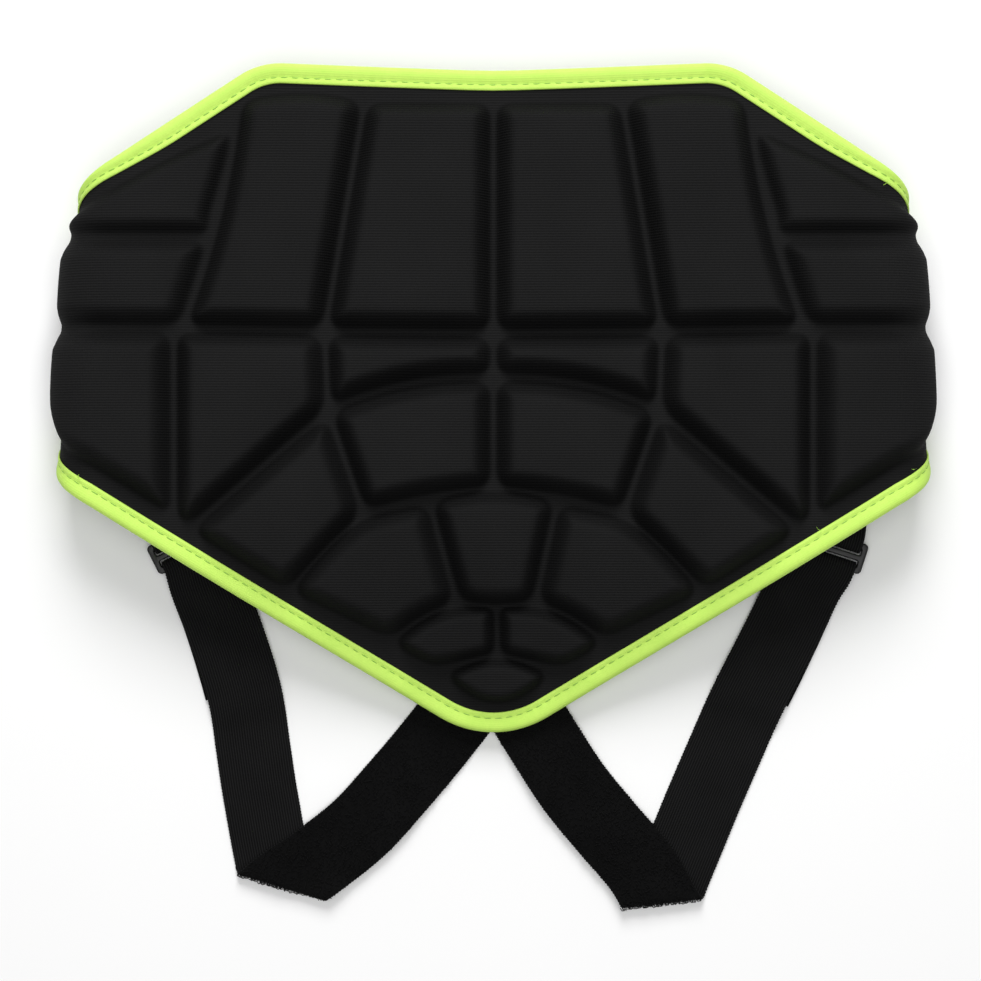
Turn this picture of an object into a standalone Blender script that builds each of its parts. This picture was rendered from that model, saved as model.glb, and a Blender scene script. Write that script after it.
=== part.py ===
# Padded hip and tailbone protector, lying flat with its padded face up.
# A moulded-foam panel with raised pads has its side ends rolled under, and the two wings
# behind it close on each other. Tape binds the whole rim, and two elastic leg straps lie
# on the floor: each is doubled through its slider, folded once and runs back under the
# panel's lower point. Units are metres, +Z is up and +Y points to the waist.
#
# The panel is worked out on a flat pattern (u across, v up) and then laid in its folded
# shape by on_pattern(), so pads, tape and wings all follow the same folds.

import math

import bmesh
import bpy
from mathutils import Vector
from mathutils.geometry import delaunay_2d_cdt

# Panel
PANEL_HALF = 0.1726        # from the middle to a side fold
APEX_DROP = 0.1062         # from the hip line down to where the two lower edges would meet
WAIST_RISE = 0.1685        # from the hip line up to the middle of the waist edge
SHOULDER_LIFT = 0.0029     # how much higher the shoulders are
SHOULDER_SHARE = 0.542     # where the shoulders are, as a share of PANEL_HALF
WAIST_ROUND = 0.300        # roundings of the rim's corners
SHOULDER_ROUND = 0.030
ROOT_ROUND = 0.030
WING_ROUND = 0.012
APEX_ROUND = 0.042
SHEET = 0.003              # foam and cover between the pads
PAD_HEIGHT = 0.009         # tallest pad above the sheet
PAD_WALL = 0.0062          # width of a pad's sloping wall, seen from above
PAD_CORNER = 0.0075        # how far from a corner its rounding starts
GROOVE = 0.003             # width of a groove's floor
LEAN = 0.0016              # how far to the right the lowest pads are moulded
LEAN_RUN = 0.070
SEAM = 0.0003              # gap where the panel's sheet meets a wing

# Side folds and sag
FOLD_RADIUS = 0.014        # to the middle of the sheet
FOLD_TILT = 0.062          # how much the half width shrinks for each metre up
FOLD_CURVE = 0.0518        # and how much faster it does so for each PANEL_HALF higher
FOLD_LEVEL = 0.035         # height on the pattern at which PANEL_HALF is measured
WAIST_SAG = 0.006          # how far the middle of the panel hangs below the folds
DROOP_FROM = 0.004         # height on the pattern below which the lower point droops
STACK_CLEAR = 0.0003       # gap between pieces that lie on each other

# Wings
WING_ROOT = 0.012          # from the end of the fold to the corner at a wing's root
WING_JOIN = 0.0018         # from the end of the fold to the seam of panel and wing
WING_TOP = 0.0914
WING_BOTTOM = 0.0265
WING_SHEET = 0.0024
WING_OVERLAP = 0.050       # how far the two wings lie over each other
PATCH_SHEET = 0.00115      # thickness of the two closure patches
PATCH_INSET = 0.0015       # from the tape to a patch
LIFT_RUN = 0.045           # length over which the left wing climbs onto the right one
LIFT_SPARE = 0.005         # how far before the right wing's end it has climbed

# Tape
TAPE = 0.0008
TAPE_GAP = 0.0004          # between the tape and the sheet inside it
TAPE_WIDTH = 0.0083        # how far the tape reaches in from the rim
CROWD = 0.32               # share of that width lost where the flank pad crowds the tape
CROWD_FROM = 0.75          # where it starts to narrow, as a share of PANEL_HALF
CROWD_RUN = 0.22

# Straps, sliders and tabs
STRAP_WIDTH = 0.030
STRAP = 0.0015
STRAP_TAIL = 0.060         # length of the doubled tail under a leg strap
TAIL_DRIFT = 0.0012        # how far the tail's end peeks out at the strap's outer edge
STRAP_END = 0.0175         # how far a strap's end reaches inside the panel's apex
LOOP_RADIUS = 0.0015       # bend of a strap where it is folded flat
DOWN_RUN = 0.016           # length over which a strap comes down from its slider
TAIL_RUN = 0.014           # and over which it comes down from its tail's end
TAIL_SPARE = 0.002
PINCH_RUN = 0.012          # length over which the folded bend closes
SETTLE_RUN = 0.030         # and over which the upper layer comes down to the floor
SKEW_FROM = 0.020          # crosswise ribs lean with the fold this near to it
SKEW_RUN = 0.035
CROSS_FROM = 0.052         # where the right strap climbs onto the left one, from its end
CROSS_RUN = 0.018
TAB_RETURN = 0.014         # length of a tab's end folded back under it
TAB_INSET = 0.00625        # from a tab's outer edge to the start of the side fold
TAB_GRIP = 0.010           # how far a tab reaches onto the wing past its tape
TAB_DOWN_RUN = 0.012       # length over which it comes down from the slider
TAB_CLIMB_RUN = 0.014      # over which it climbs onto the tape
TAB_CLIMB_FROM = 0.018
TAB_STEP_RUN = 0.005       # and over which it steps down onto the wing
TAB_CLEAR = 0.0015
BAR = 0.0024               # thickness and width of a slider's bars
SLOT = 0.0028
SLOT_SIDE = 0.0006         # room beside a strap in its slot

# Fineness of the meshes
RIM_STEP = 0.014           # longest straight stretch of the rim on the padded face
WING_STEP = 0.045          # and on the wings
LINE_STEP = 0.020          # along the lines across a fold
PAD_STEP = 0.030           # along a pad's straight edge
BOW_PIECES = 4             # pieces of a bowed edge
DOT_PITCH = 0.019          # grid of loose points on the sheet
DOT_EDGE = 0.006           # their least distance from the rim
DOT_RING = 0.0035          # and from a pad's rings
FOLD_STEPS = 8
LIFT_STEPS = 6
LOOP_STEPS = 8             # round a slider's bar
BEND_STEPS = 6             # round a flat fold
TAIL_STEPS = 6
STRAP_STEP = 0.008
TAB_STEP = 0.0028
ARC_STEP = math.radians(15)
SOFT_CORNER = math.radians(18)             # corners that turn less than this aren't rounded

TAPE_HALF = SHEET / 2 + TAPE_GAP + TAPE
WING_MID = TAPE_HALF                       # the wings' tape rests on the floor
FACE_TOP = WING_MID + 2 * FOLD_RADIUS
TURN = math.pi * FOLD_RADIUS
WING_LIFT = 2 * TAPE_HALF + STACK_CLEAR
TAPE_SEAT = TAPE + STACK_CLEAR             # from the rim to the sheet's own edge
LIFT_FOOT = WING_OVERLAP / 2 + LIFT_SPARE  # where the left wing has reached its full lift
LAYER = STRAP + STACK_CLEAR                # from one layer of strap to the next
STRAP_HALF = STRAP_WIDTH / 2
REST = STRAP / 2                           # height of a strap's middle on the floor

# Rim corners of the right half: across, up, rounding
TURN_START = PANEL_HALF - FOLD_RADIUS
SEAM_AT = TURN_START + TURN + WING_JOIN
WING_TIP = TURN_START + TURN + TURN_START + WING_OVERLAP / 2
RIM = (
    (0.0, WAIST_RISE, WAIST_ROUND),
    (SHOULDER_SHARE * PANEL_HALF, WAIST_RISE + SHOULDER_LIFT, SHOULDER_ROUND),
    (TURN_START + TURN + WING_ROOT, WING_TOP, ROOT_ROUND),
    (WING_TIP, WING_TOP, WING_ROUND),
    (WING_TIP, WING_BOTTOM, WING_ROUND),
    (TURN_START + TURN + WING_ROOT, WING_BOTTOM, ROOT_ROUND),
    (0.0, -APEX_DROP, APEX_ROUND),
)

# Where grooves meet on the right half. Both columns are shares: across of PANEL_HALF,
# and up of WAIST_RISE above the hip line or of APEX_DROP below it.
JUNCTIONS = {
    "waist_mid": (0.000, 0.932),
    "waist_side": (0.298, 0.932),
    "waist_out": (0.588, 0.932),
    "back_mid": (0.000, 0.374),
    "back_side": (0.392, 0.378),
    "back_out": (0.721, 0.385),
    "hip_top": (0.739, 0.385),
    "hip_low": (0.739, -0.113),
    "flank_in": (0.652, 0.645),
    "flank_bend": (0.607, 0.800),
    "flank_tip": (0.600, 0.868),
    "flank_edge": (0.938, 0.690),
    "flank_end": (1.046, 0.640),
    "side_top": (1.054, 0.603),
    "side_in": (0.652, 0.603),
    "side_low": (1.054, 0.387),
    "thigh_end": (1.054, 0.190),
    "thigh_low": (1.010, 0.098),
    "seat_mid": (0.000, 0.268),
    "seat_side": (0.384, 0.190),
    "seat_out": (0.696, -0.130),
    "low_mid": (0.000, 0.001),
    "low_side": (0.301, -0.089),
    "low_out": (0.487, -0.391),
    "corner_out": (0.687, -0.184),
    "drop_top": (0.150, -0.033),
    "drop_low": (0.090, -0.431),
    "tail_side": (0.250, -0.580),
    "tail_mid": (0.000, -0.429),
    "tail_low": (0.145, -0.683),
    "tail_floor": (0.000, -0.631),
    "tip_side": (0.130, -0.709),
}

# Pads: groove corners in order round the pad, how far each edge swells outwards as a share
# of its length (from that corner to the next), height as a share of PAD_HEIGHT, and wall
# as a share of PAD_WALL. A name with "-" is the mirrored corner of the left half.
PADS = (
    ("waist", ("waist_mid", "waist_side", "back_side", "back_mid"), (0, 0, 0, 0), 1.0, 1.0),
    ("loin", ("waist_side", "waist_out", "back_out", "back_side"), (.07, -.035, 0, 0), 1.0, 1.0),
    ("flank", ("flank_in", "flank_bend", "flank_tip", "flank_edge", "flank_end", "side_top",
               "side_in"), (0, 0, .02, 0, 0, 0, 0), 0.50, 0.9),
    ("side", ("side_in", "side_top", "side_low", "back_out"), (0, 0, 0, 0), 0.78, 1.0),
    ("thigh", ("hip_top", "side_low", "thigh_end", "thigh_low", "hip_low"),
     (0, 0, 0, 0, 0), 0.90, 1.1),
    ("back", ("back_mid", "back_side", "seat_side", "seat_mid"), (0, 0, -.062, 0), 1.0, 1.0),
    ("hip", ("back_side", "hip_top", "hip_low", "seat_out", "seat_side"),
     (0, 0, 0, 0, 0), 1.0, 1.0),
    ("seat", ("seat_mid", "seat_side", "low_side", "low_mid"), (.062, 0, -.034, 0), 1.0, 1.0),
    ("buttock", ("seat_side", "seat_out", "corner_out", "low_out", "low_side"),
     (0, 0, 0, 0, 0), 1.0, 1.0),
    ("lower", ("drop_top", "low_side", "low_out", "tail_side", "drop_low"),
     (0, .05, 0, 0, 0), 0.94, 1.0),
    ("tail", ("tail_mid", "drop_low", "tail_side", "tail_low", "tail_floor"),
     (0, 0, 0, 0, 0), 0.72, 0.9),
)
MIDDLE_PADS = (
    ("drop", ("-drop_top", "drop_top", "drop_low", "-drop_low"), (.09, 0, .05, 0), 0.94, 0.9),
    ("tip", ("-tip_side", "tip_side"), (.16, .26), 0.50, 0.62),
)
PAD_RINGS = ((0.0, 0.0), (0.12, 0.475), (0.42, 0.815), (1.0, 1.0))   # wall share, height share
PAD_THIN_FROM = 0.81       # pads grow thinner from here outwards, as a share of PANEL_HALF
PAD_THIN_TO = 0.70         # and are this share of their height at the outer end

# Leg straps. Routes run from the slider to the fold (share of the way down, share of
# PANEL_HALF across) and from the fold back to the panel (share of the way up, across).
# The tuck is how far the slider lies inside the panel's edge, as a share of STRAP_WIDTH,
# and the drop how far the fold lies below the panel's apex, as a share of APEX_DROP.
LEGS = {
    "left": {
        "side": -1,
        "slider_across": -0.7155,
        "slider_tuck": 0.297,
        "slider_tilt": math.radians(27),
        "fold_across": -0.5145,
        "fold_drop": 0.576,
        "fold_line": math.radians(-17),
        "down": ((0.128, -0.680), (0.229, -0.648), (0.346, -0.615), (0.461, -0.589),
                 (0.607, -0.572), (0.753, -0.554)),
        "up": ((0.145, -0.418), (0.331, -0.3105), (0.535, -0.2248), (0.763, -0.1367),
               (1.0, -0.052)),
        "over": 0,
    },
    "right": {
        "side": 1,
        "slider_across": 0.7816,
        "slider_tuck": -0.007,
        "slider_tilt": math.radians(18),
        "fold_across": 0.4056,
        "fold_drop": 0.644,
        "fold_line": math.radians(6.5),
        "down": ((0.096, 0.7445), (0.207, 0.7005), (0.320, 0.6530), (0.432, 0.6054),
                 (0.572, 0.5539), (0.713, 0.5029), (0.768, 0.4838)),
        "up": ((0.194, 0.3494), (0.3855, 0.2683), (0.5726, 0.1918), (0.7823, 0.1228),
               (1.0, 0.056)),
        "over": 1,
    },
}

APEX_SLOPE = (WING_BOTTOM + APEX_DROP) / RIM[-2][0]   # of the lower edge
APEX_TIP = -APEX_DROP + RIM[-1][2] * (math.hypot(1, APEX_SLOPE) - 1)
APEX_CLEAR = 2 * LAYER + TAPE_HALF                    # the tip rests on two strap ends
BAR_REACH = BAR / 2 * math.sqrt(2) + STACK_CLEAR + STRAP / 2
BAR_HEIGHT = STRAP / 2 + BAR_REACH
BAR_PITCH = BAR + SLOT


def smooth(t):
    t = min(1.0, max(0.0, t))
    return t * t * (3 - 2 * t)


# Folded shape

def fold_start(v):
    """Distance from the middle at which the sheet starts to turn under."""
    rise = v - FOLD_LEVEL
    return TURN_START - rise * (FOLD_TILT + FOLD_CURVE * rise / PANEL_HALF)


def face_height(s, v):
    """Height of the sheet's middle on the padded face."""
    inward = (1 - (s / fold_start(v)) ** 2) ** 2
    droop = smooth((DROOP_FROM - v) / (DROOP_FROM - APEX_TIP))
    tip_sag = FACE_TOP - APEX_CLEAR
    return FACE_TOP - inward * (WAIST_SAG + (tip_sag - WAIST_SAG) * droop)


def wing_lift(side, x):
    """How far the left wing is raised where it lies on the right one."""
    if side > 0:
        return 0.0
    return WING_LIFT * smooth((LIFT_FOOT + LIFT_RUN - x) / LIFT_RUN)


def on_pattern(u, v, n):
    """Place a point of the flat pattern, n above the sheet's middle, in the folded shape."""
    side = 1 if u >= 0 else -1
    s = abs(u)
    start = fold_start(v)
    if s <= start:
        return Vector((u, v, face_height(s, v) + n))
    if s <= start + TURN:
        turn = (s - start) / FOLD_RADIUS
        reach = FOLD_RADIUS + n
        x = start + reach * math.sin(turn)
        return Vector((side * x, v, WING_MID + FOLD_RADIUS + reach * math.cos(turn)))
    x = start - (s - start - TURN)
    return Vector((side * x, v, WING_MID - n + wing_lift(side, x)))


# Rim

def rounded_loop(corners):
    """Round the corners of a closed loop; gives points with their outward normals."""
    loop = []
    count = len(corners)
    for index, (x, y, radius) in enumerate(corners):
        here = Vector((x, y))
        before = (here - Vector(corners[index - 1][:2])).normalized()
        after = (Vector(corners[(index + 1) % count][:2]) - here).normalized()
        turn = math.atan2(before.cross(after), before.dot(after))
        tangent = radius * math.tan(abs(turn) / 2)
        first_normal = Vector((-before.y, before.x))
        start = here - before * tangent
        bend = math.copysign(1, turn)
        centre = start + first_normal * radius * bend
        steps = max(1, math.ceil(abs(turn) / ARC_STEP))
        for step in range(steps + 1):
            angle = turn * step / steps
            normal = Vector((first_normal.x * math.cos(angle) - first_normal.y * math.sin(angle),
                             first_normal.x * math.sin(angle) + first_normal.y * math.cos(angle)))
            loop.append((centre - normal * radius * bend, normal))
    return loop


def fold_place(point):
    """Which fold line a pattern point lies on: 0 where the turn starts, FOLD_STEPS at its end."""
    return (abs(point.x) - fold_start(point.y)) / TURN * FOLD_STEPS


def fold_direction(point):
    """Direction of a fold line, up the pattern."""
    slope = FOLD_TILT + 2 * FOLD_CURVE * (point.y - FOLD_LEVEL) / PANEL_HALF
    return Vector((math.copysign(slope, -point.x), 1)).normalized()


def lift_place(point):
    """The same for the crosswise lines where the left wing climbs onto the right one."""
    x = 2 * fold_start(point.y) + TURN - abs(point.x)
    return (x - LIFT_FOOT) / LIFT_RUN * LIFT_STEPS


def seam_place(point):
    return abs(point.x) - SEAM_AT


def crossings(here, there, place, levels):
    """Shares of a straight stretch at which it crosses the given lines, by halving."""
    first, last = place(here), place(there)
    shares = []
    for level in levels:
        if not min(first, last) < level < max(first, last):
            continue
        low, high = 0.0, 1.0
        for _ in range(30):
            share = (low + high) / 2
            if (place(here.lerp(there, share)) < level) == (first < last):
                low = share
            else:
                high = share
        shares.append(share)
    return shares


def rim_stations():
    """Points round the rim, each with the direction in which the tape's width is measured."""
    left = [(-x, y, radius) for x, y, radius in reversed(RIM[1:-1])]
    loop = rounded_loop(list(RIM) + left)
    stations = []
    for index, (here, normal) in enumerate(loop):
        there, next_normal = loop[(index + 1) % len(loop)]
        length = (there - here).length
        if length < 1e-7:
            continue
        stations.append((here, normal))
        marks = {0.0: None, 1.0: None}
        for share in crossings(here, there, fold_place, range(FOLD_STEPS + 1)):
            marks[share] = fold_direction(here.lerp(there, share))
        for share in crossings(here, there, seam_place, (0,)):
            marks[share] = Vector((0, 1))
        if here.x < 0:
            for share in crossings(here, there, lift_place, range(LIFT_STEPS + 1)):
                marks[share] = Vector((0, 1))
        order = sorted(marks)
        for start, end in zip(order, order[1:]):
            on_face = abs((here + (there - here) * (start + end) / 2).x) < TURN_START
            limit = RIM_STEP if on_face else WING_STEP
            pieces = max(1, math.ceil((end - start) * length / limit))
            for piece in range(1, pieces + 1):
                share = start + (end - start) * piece / pieces
                if share == 1.0:
                    continue
                point = here + (there - here) * share
                across = normal.lerp(next_normal, share).normalized()
                if piece == pieces:
                    across = marks[end] / marks[end].dot(across)
                stations.append((point, across))
    return stations


# Pads

def junction(name):
    side = -1 if name.startswith("-") else 1
    across, up = JUNCTIONS[name.lstrip("-")]
    return Vector((side * across * PANEL_HALF, up * (WAIST_RISE if up > 0 else APEX_DROP)))


def bowed_outline(names, bows):
    """Corners and in-between points of a pad, on the groove's middle line."""
    points = []
    for index, name in enumerate(names):
        here = junction(name)
        there = junction(names[(index + 1) % len(names)])
        points.append((here, True))
        edge = there - here
        outward = Vector((-edge.y, edge.x))
        if bows[index]:
            pieces = BOW_PIECES
        else:
            pieces = max(1, math.ceil(edge.length / PAD_STEP))
        for piece in range(1, pieces):
            share = piece / pieces
            swell = 4 * bows[index] * share * (1 - share)
            points.append((here + edge * share + outward * swell, False))
    return points


def inset_loop(points, distance):
    """Move each edge of a clockwise loop inwards by a distance."""
    moved = []
    count = len(points)
    for index, (here, corner) in enumerate(points):
        before = (here - points[index - 1][0]).normalized()
        after = (points[(index + 1) % count][0] - here).normalized()
        first = Vector((before.y, -before.x))
        second = Vector((after.y, -after.x))
        reach = distance / max(0.3, 1 + first.dot(second))
        moved.append((here + (first + second) * reach, corner))
    return moved


def rounded_pad(points, rounding):
    """Round the real corners of a loop with a short curve of three points."""
    loop = []
    count = len(points)
    for index, (here, corner) in enumerate(points):
        before = points[index - 1][0] - here
        after = points[(index + 1) % count][0] - here
        turn = math.pi - before.angle(after)
        if not corner or turn < SOFT_CORNER:
            loop.append(here)
            continue
        cut_before = min(rounding, before.length * 0.42)
        cut_after = min(rounding, after.length * 0.42)
        start = here + before.normalized() * cut_before
        end = here + after.normalized() * cut_after
        middle = (start + here * 2 + end) / 4
        loop.extend((start, middle, end))
    return loop


def pad_rings():
    """Rings of pattern points with their heights, for every pad of both halves."""
    rings = []
    tables = [(row, (1, -1)) for row in PADS] + [(row, (1,)) for row in MIDDLE_PADS]
    for (name, corners, bows, height, wall), sides in tables:
        outline = bowed_outline(corners, bows)
        for wall_share, height_share in PAD_RINGS:
            reach = GROOVE / 2 + PAD_WALL * wall * wall_share
            rounding = PAD_CORNER * (1 - 0.55 * wall_share)
            loop = rounded_pad(inset_loop(outline, reach), rounding)
            for side in sides:
                points = [Vector((side * point.x + LEAN * smooth(-point.y / LEAN_RUN), point.y))
                          for point in loop]
                rings.append((name, points, PAD_HEIGHT * height * height_share))
    return rings


def thinning(u):
    start = PAD_THIN_FROM * PANEL_HALF
    end = TURN_START + FOLD_RADIUS * math.pi / 2
    share = (abs(u) - start) / (end - start)
    return 1 - (1 - PAD_THIN_TO) * min(1.0, max(0.0, share))


# Meshes

def triangulate(loop, extra_loops=(), lines=(), dots=()):
    """Triangles inside a closed loop, with rings, lines and dots kept as edges and points.

    Also gives, for each point of the loop, its place among the triangles' points.
    """
    coords = [Vector(point) for point in loop]
    edges = [(i, (i + 1) % len(loop)) for i in range(len(loop))]
    for ring in extra_loops:
        first = len(coords)
        coords.extend(ring)
        edges.extend((first + i, first + (i + 1) % len(ring)) for i in range(len(ring)))
    for line in lines:
        first = len(coords)
        coords.extend(line)
        edges.extend((first + i, first + i + 1) for i in range(len(line) - 1))
    coords.extend(dots)
    points, _, faces, sources, _, _ = delaunay_2d_cdt(coords, edges, [], 0, 1e-5, True)
    places = {}
    for place, source in enumerate(sources):
        for original in source:
            if original < len(loop):
                places[original] = place
    walls = {frozenset((places[i], places[(i + 1) % len(loop)])) for i in range(len(loop))}
    return points, faces_within(faces, walls), [places[i] for i in range(len(loop))]


def faces_within(faces, walls):
    """The faces that can't be reached from outside without crossing a wall edge."""
    users = {}
    for index, face in enumerate(faces):
        for a, b in zip(face, face[1:] + face[:1]):
            users.setdefault(frozenset((a, b)), []).append(index)
    outside = set()
    queue = [found[0] for edge, found in users.items() if len(found) == 1 and edge not in walls]
    while queue:
        index = queue.pop()
        if index in outside:
            continue
        outside.add(index)
        face = faces[index]
        for a, b in zip(face, face[1:] + face[:1]):
            edge = frozenset((a, b))
            if edge not in walls:
                queue.extend(found for found in users[edge] if found not in outside)
    return [face for index, face in enumerate(faces) if index not in outside]


def shoelace(points):
    return sum(a.x * b.y - b.x * a.y for a, b in zip(points, points[1:] + points[:1])) / 2


def make_object(name, vertices, faces, colour, roughness, smooth_angle=40):
    mesh = bpy.data.meshes.new(name)
    mesh.from_pydata([tuple(vertex) for vertex in vertices], [], faces)
    mesh.validate()
    body = bmesh.new()
    body.from_mesh(mesh)
    bmesh.ops.recalc_face_normals(body, faces=body.faces)
    bmesh.ops.triangulate(body, faces=[face for face in body.faces if len(face.verts) > 3])
    body.to_mesh(mesh)
    body.free()
    mesh.shade_smooth()
    mesh.set_sharp_from_angle(angle=math.radians(smooth_angle))
    material = bpy.data.materials.new(name)
    material.use_nodes = True
    shader = material.node_tree.nodes["Principled BSDF"]
    shader.inputs["Base Color"].default_value = (*colour, 1)
    shader.inputs["Roughness"].default_value = roughness
    mesh.materials.append(material)
    result = bpy.data.objects.new(name, mesh)
    bpy.context.scene.collection.objects.link(result)
    return result


def sheet_body(name, loop, thickness, colour, rings=(), lines=(), dots=(), offset=0.0):
    """A closed sheet over a pattern loop, with raised rings on its upper face."""
    grades = [(points, height) for _, points, height in rings]
    upper, upper_faces, upper_rim = triangulate(loop, [ring for ring, _ in grades], lines, dots)
    lower, lower_faces, lower_rim = triangulate(loop, (), lines, dots)
    raised = {(round(point.x, 7), round(point.y, 7)): height
              for points, height in grades for point in points}
    vertices = []
    for point in upper:
        height = raised.get((round(point.x, 7), round(point.y, 7)))
        if height is None:
            height = height_between(point, grades)
        rise = height * thinning(point.x)
        vertices.append(on_pattern(point.x, point.y, offset + thickness / 2 + rise))
    base = len(vertices)
    for point in lower:
        vertices.append(on_pattern(point.x, point.y, offset - thickness / 2))
    faces = [tuple(face) for face in upper_faces]
    faces += [tuple(base + corner for corner in reversed(face)) for face in lower_faces]
    for index in range(len(loop)):
        after = (index + 1) % len(loop)
        faces.append((upper_rim[index], base + lower_rim[index],
                      base + lower_rim[after], upper_rim[after]))
    return make_object(name, vertices, faces, colour, 0.9)


def inside(point, loop):
    hit = False
    for a, b in zip(loop, loop[1:] + loop[:1]):
        if (a.y > point.y) != (b.y > point.y):
            if point.x < a.x + (point.y - a.y) / (b.y - a.y) * (b.x - a.x):
                hit = not hit
    return hit


def edge_distance(point, loop):
    best = 1.0
    for a, b in zip(loop, loop[1:] + loop[:1]):
        edge = b - a
        share = min(1.0, max(0.0, (point - a).dot(edge) / edge.length_squared))
        best = min(best, (point - a - edge * share).length)
    return best


def height_between(point, grades):
    """Height of a point that lies between two rings of a pad, or on its top."""
    around = [(loop, height) for loop, height in grades if inside(point, loop)]
    if not around:
        return 0.0
    loop, height = max(around, key=lambda pair: pair[1])
    higher = [pair for pair in grades if pair[1] > height and inside(loop_middle(pair[0]), loop)]
    if not higher:
        return height
    next_loop, next_height = min(higher, key=lambda pair: pair[1])
    outer = edge_distance(point, loop)
    inner = edge_distance(point, next_loop)
    return height + (next_height - height) * outer / max(outer + inner, 1e-9)


def loop_middle(loop):
    return sum(loop, Vector((0, 0))) / len(loop)


def tube(name, rings, colour, roughness, smooth_angle=40):
    """A closed body through a row of rings, with flat ends."""
    size = len(rings[0])
    vertices = [point for ring in rings for point in ring]
    faces = []
    for step in range(len(rings) - 1):
        for corner in range(size):
            after = (corner + 1) % size
            a = step * size + corner
            b = step * size + after
            faces.append((a, b, b + size, a + size))
    faces.append(tuple(range(size)))
    last = (len(rings) - 1) * size
    faces.append(tuple(last + corner for corner in reversed(range(size))))
    return make_object(name, vertices, faces, colour, roughness, smooth_angle)


# Panel, wings, patches and tape

BLACK = (0.012, 0.012, 0.013)
LIME = (0.62, 0.93, 0.19)


def inset_station(station, distance):
    point, across = station
    return point - across * distance


def fold_at(v, step):
    return fold_start(v) + TURN * step / FOLD_STEPS


def lift_at(v, step):
    return 2 * fold_start(v) + TURN - LIFT_FOOT - LIFT_RUN * step / LIFT_STEPS


def lines_between(stations, side, place, across_at, steps):
    """Lines across the pattern from rim to rim, one for each step of a fold."""
    lines = []
    for step in range(steps + 1):
        ends = [inset_station(station, TAPE_SEAT) for station in stations
                if station[0].x * side > 0 and abs(place(station[0]) - step) < 1e-3]
        ends.sort(key=lambda point: point.y)
        low, high = ends[0], ends[-1]
        count = max(2, round((high - low).length / LINE_STEP))
        line = [low]
        for i in range(1, count):
            v = low.y + (high.y - low.y) * i / count
            line.append(Vector((side * across_at(v, step), v)))
        lines.append(line + [high])
    return lines


def grid_dots(loop, rings):
    """Loose points that keep the large faces following the panel's curve."""
    dots = []
    columns = int(TURN_START / DOT_PITCH)
    rows = int((WAIST_RISE + APEX_DROP) / DOT_PITCH)
    for row in range(rows + 1):
        for column in range(-columns, columns + 1):
            dot = Vector((column * DOT_PITCH, -APEX_DROP + row * DOT_PITCH))
            if not inside(dot, loop) or edge_distance(dot, loop) < DOT_EDGE:
                continue
            if min(edge_distance(dot, points) for _, points, _ in rings) < DOT_RING:
                continue
            dots.append(dot)
    return dots


def build_sheets():
    stations = rim_stations()
    panel_loop = []
    wing_loops = {-1: [], 1: []}
    for station in stations:
        point = inset_station(station, TAPE_SEAT)
        side = 1 if point.x > 0 else -1
        beyond = abs(station[0].x) - SEAM_AT
        if abs(beyond) < 1e-6:
            panel_loop.append(Vector((side * (SEAM_AT - SEAM / 2), point.y)))
            wing_loops[side].append(Vector((side * (SEAM_AT + SEAM / 2), point.y)))
        elif beyond < 0:
            panel_loop.append(point)
        else:
            wing_loops[side].append(point)
    rings = pad_rings()
    folds = [line for side in (-1, 1)
             for line in lines_between(stations, side, fold_place, fold_at, FOLD_STEPS)]
    dots = grid_dots(panel_loop, rings)
    sheet_body("padded_panel", panel_loop, SHEET, BLACK, rings, folds, dots)
    climb = lines_between(stations, -1, lift_place, lift_at, LIFT_STEPS)
    sheet_body("wing_left", wing_loops[-1], WING_SHEET, BLACK, (), climb)
    sheet_body("wing_right", wing_loops[1], WING_SHEET, BLACK)
    build_patches()
    build_tape(stations)


def build_patches():
    """Two flat closure patches where the wings overlap."""
    inner = TAPE_WIDTH + PATCH_INSET
    reach = WING_OVERLAP / 2 - inner - PATCH_INSET
    low = WING_BOTTOM + inner
    high = WING_TOP - inner
    for name, side in (("loop_patch", 1), ("hook_patch", -1)):
        corners = []
        for v in (low, high):
            for x in (-reach, reach):
                start = fold_start(v)
                corners.append(Vector((side * (2 * start + TURN - x), v)))
        loop = [corners[0], corners[1], corners[3], corners[2]]
        if shoelace(loop) < 0:
            loop.reverse()
        # The outer face of the pattern points down on the wings, so the loop patch lies on
        # the inner side of the right wing and the hook patch on the outer side of the left.
        lift = WING_SHEET / 2 + STACK_CLEAR + PATCH_SHEET / 2
        sheet_body(name, loop, PATCH_SHEET, (0.02, 0.02, 0.02), offset=-lift * side)


def tape_reach(point):
    """How far the tape reaches in: narrower where the flank pad crowds the upper fold."""
    if point.y < WING_BOTTOM:
        return TAPE_WIDTH
    crowd = smooth((abs(point.x) - CROWD_FROM * PANEL_HALF) / (CROWD_RUN * PANEL_HALF))
    return TAPE_WIDTH * (1 - CROWD * crowd)


def tape_section(reach):
    """Channel round the sheet's edge: outward distance and height above the sheet's middle."""
    high = TAPE_HALF
    inner = TAPE_HALF - TAPE
    bend = 2 * TAPE
    return ((-reach, high), (-bend, high), (0, high * 0.5), (0, -high * 0.5),
            (-bend, -high), (-reach, -high), (-reach, -inner),
            (-TAPE, -inner), (-TAPE, inner), (-reach, inner))


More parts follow.
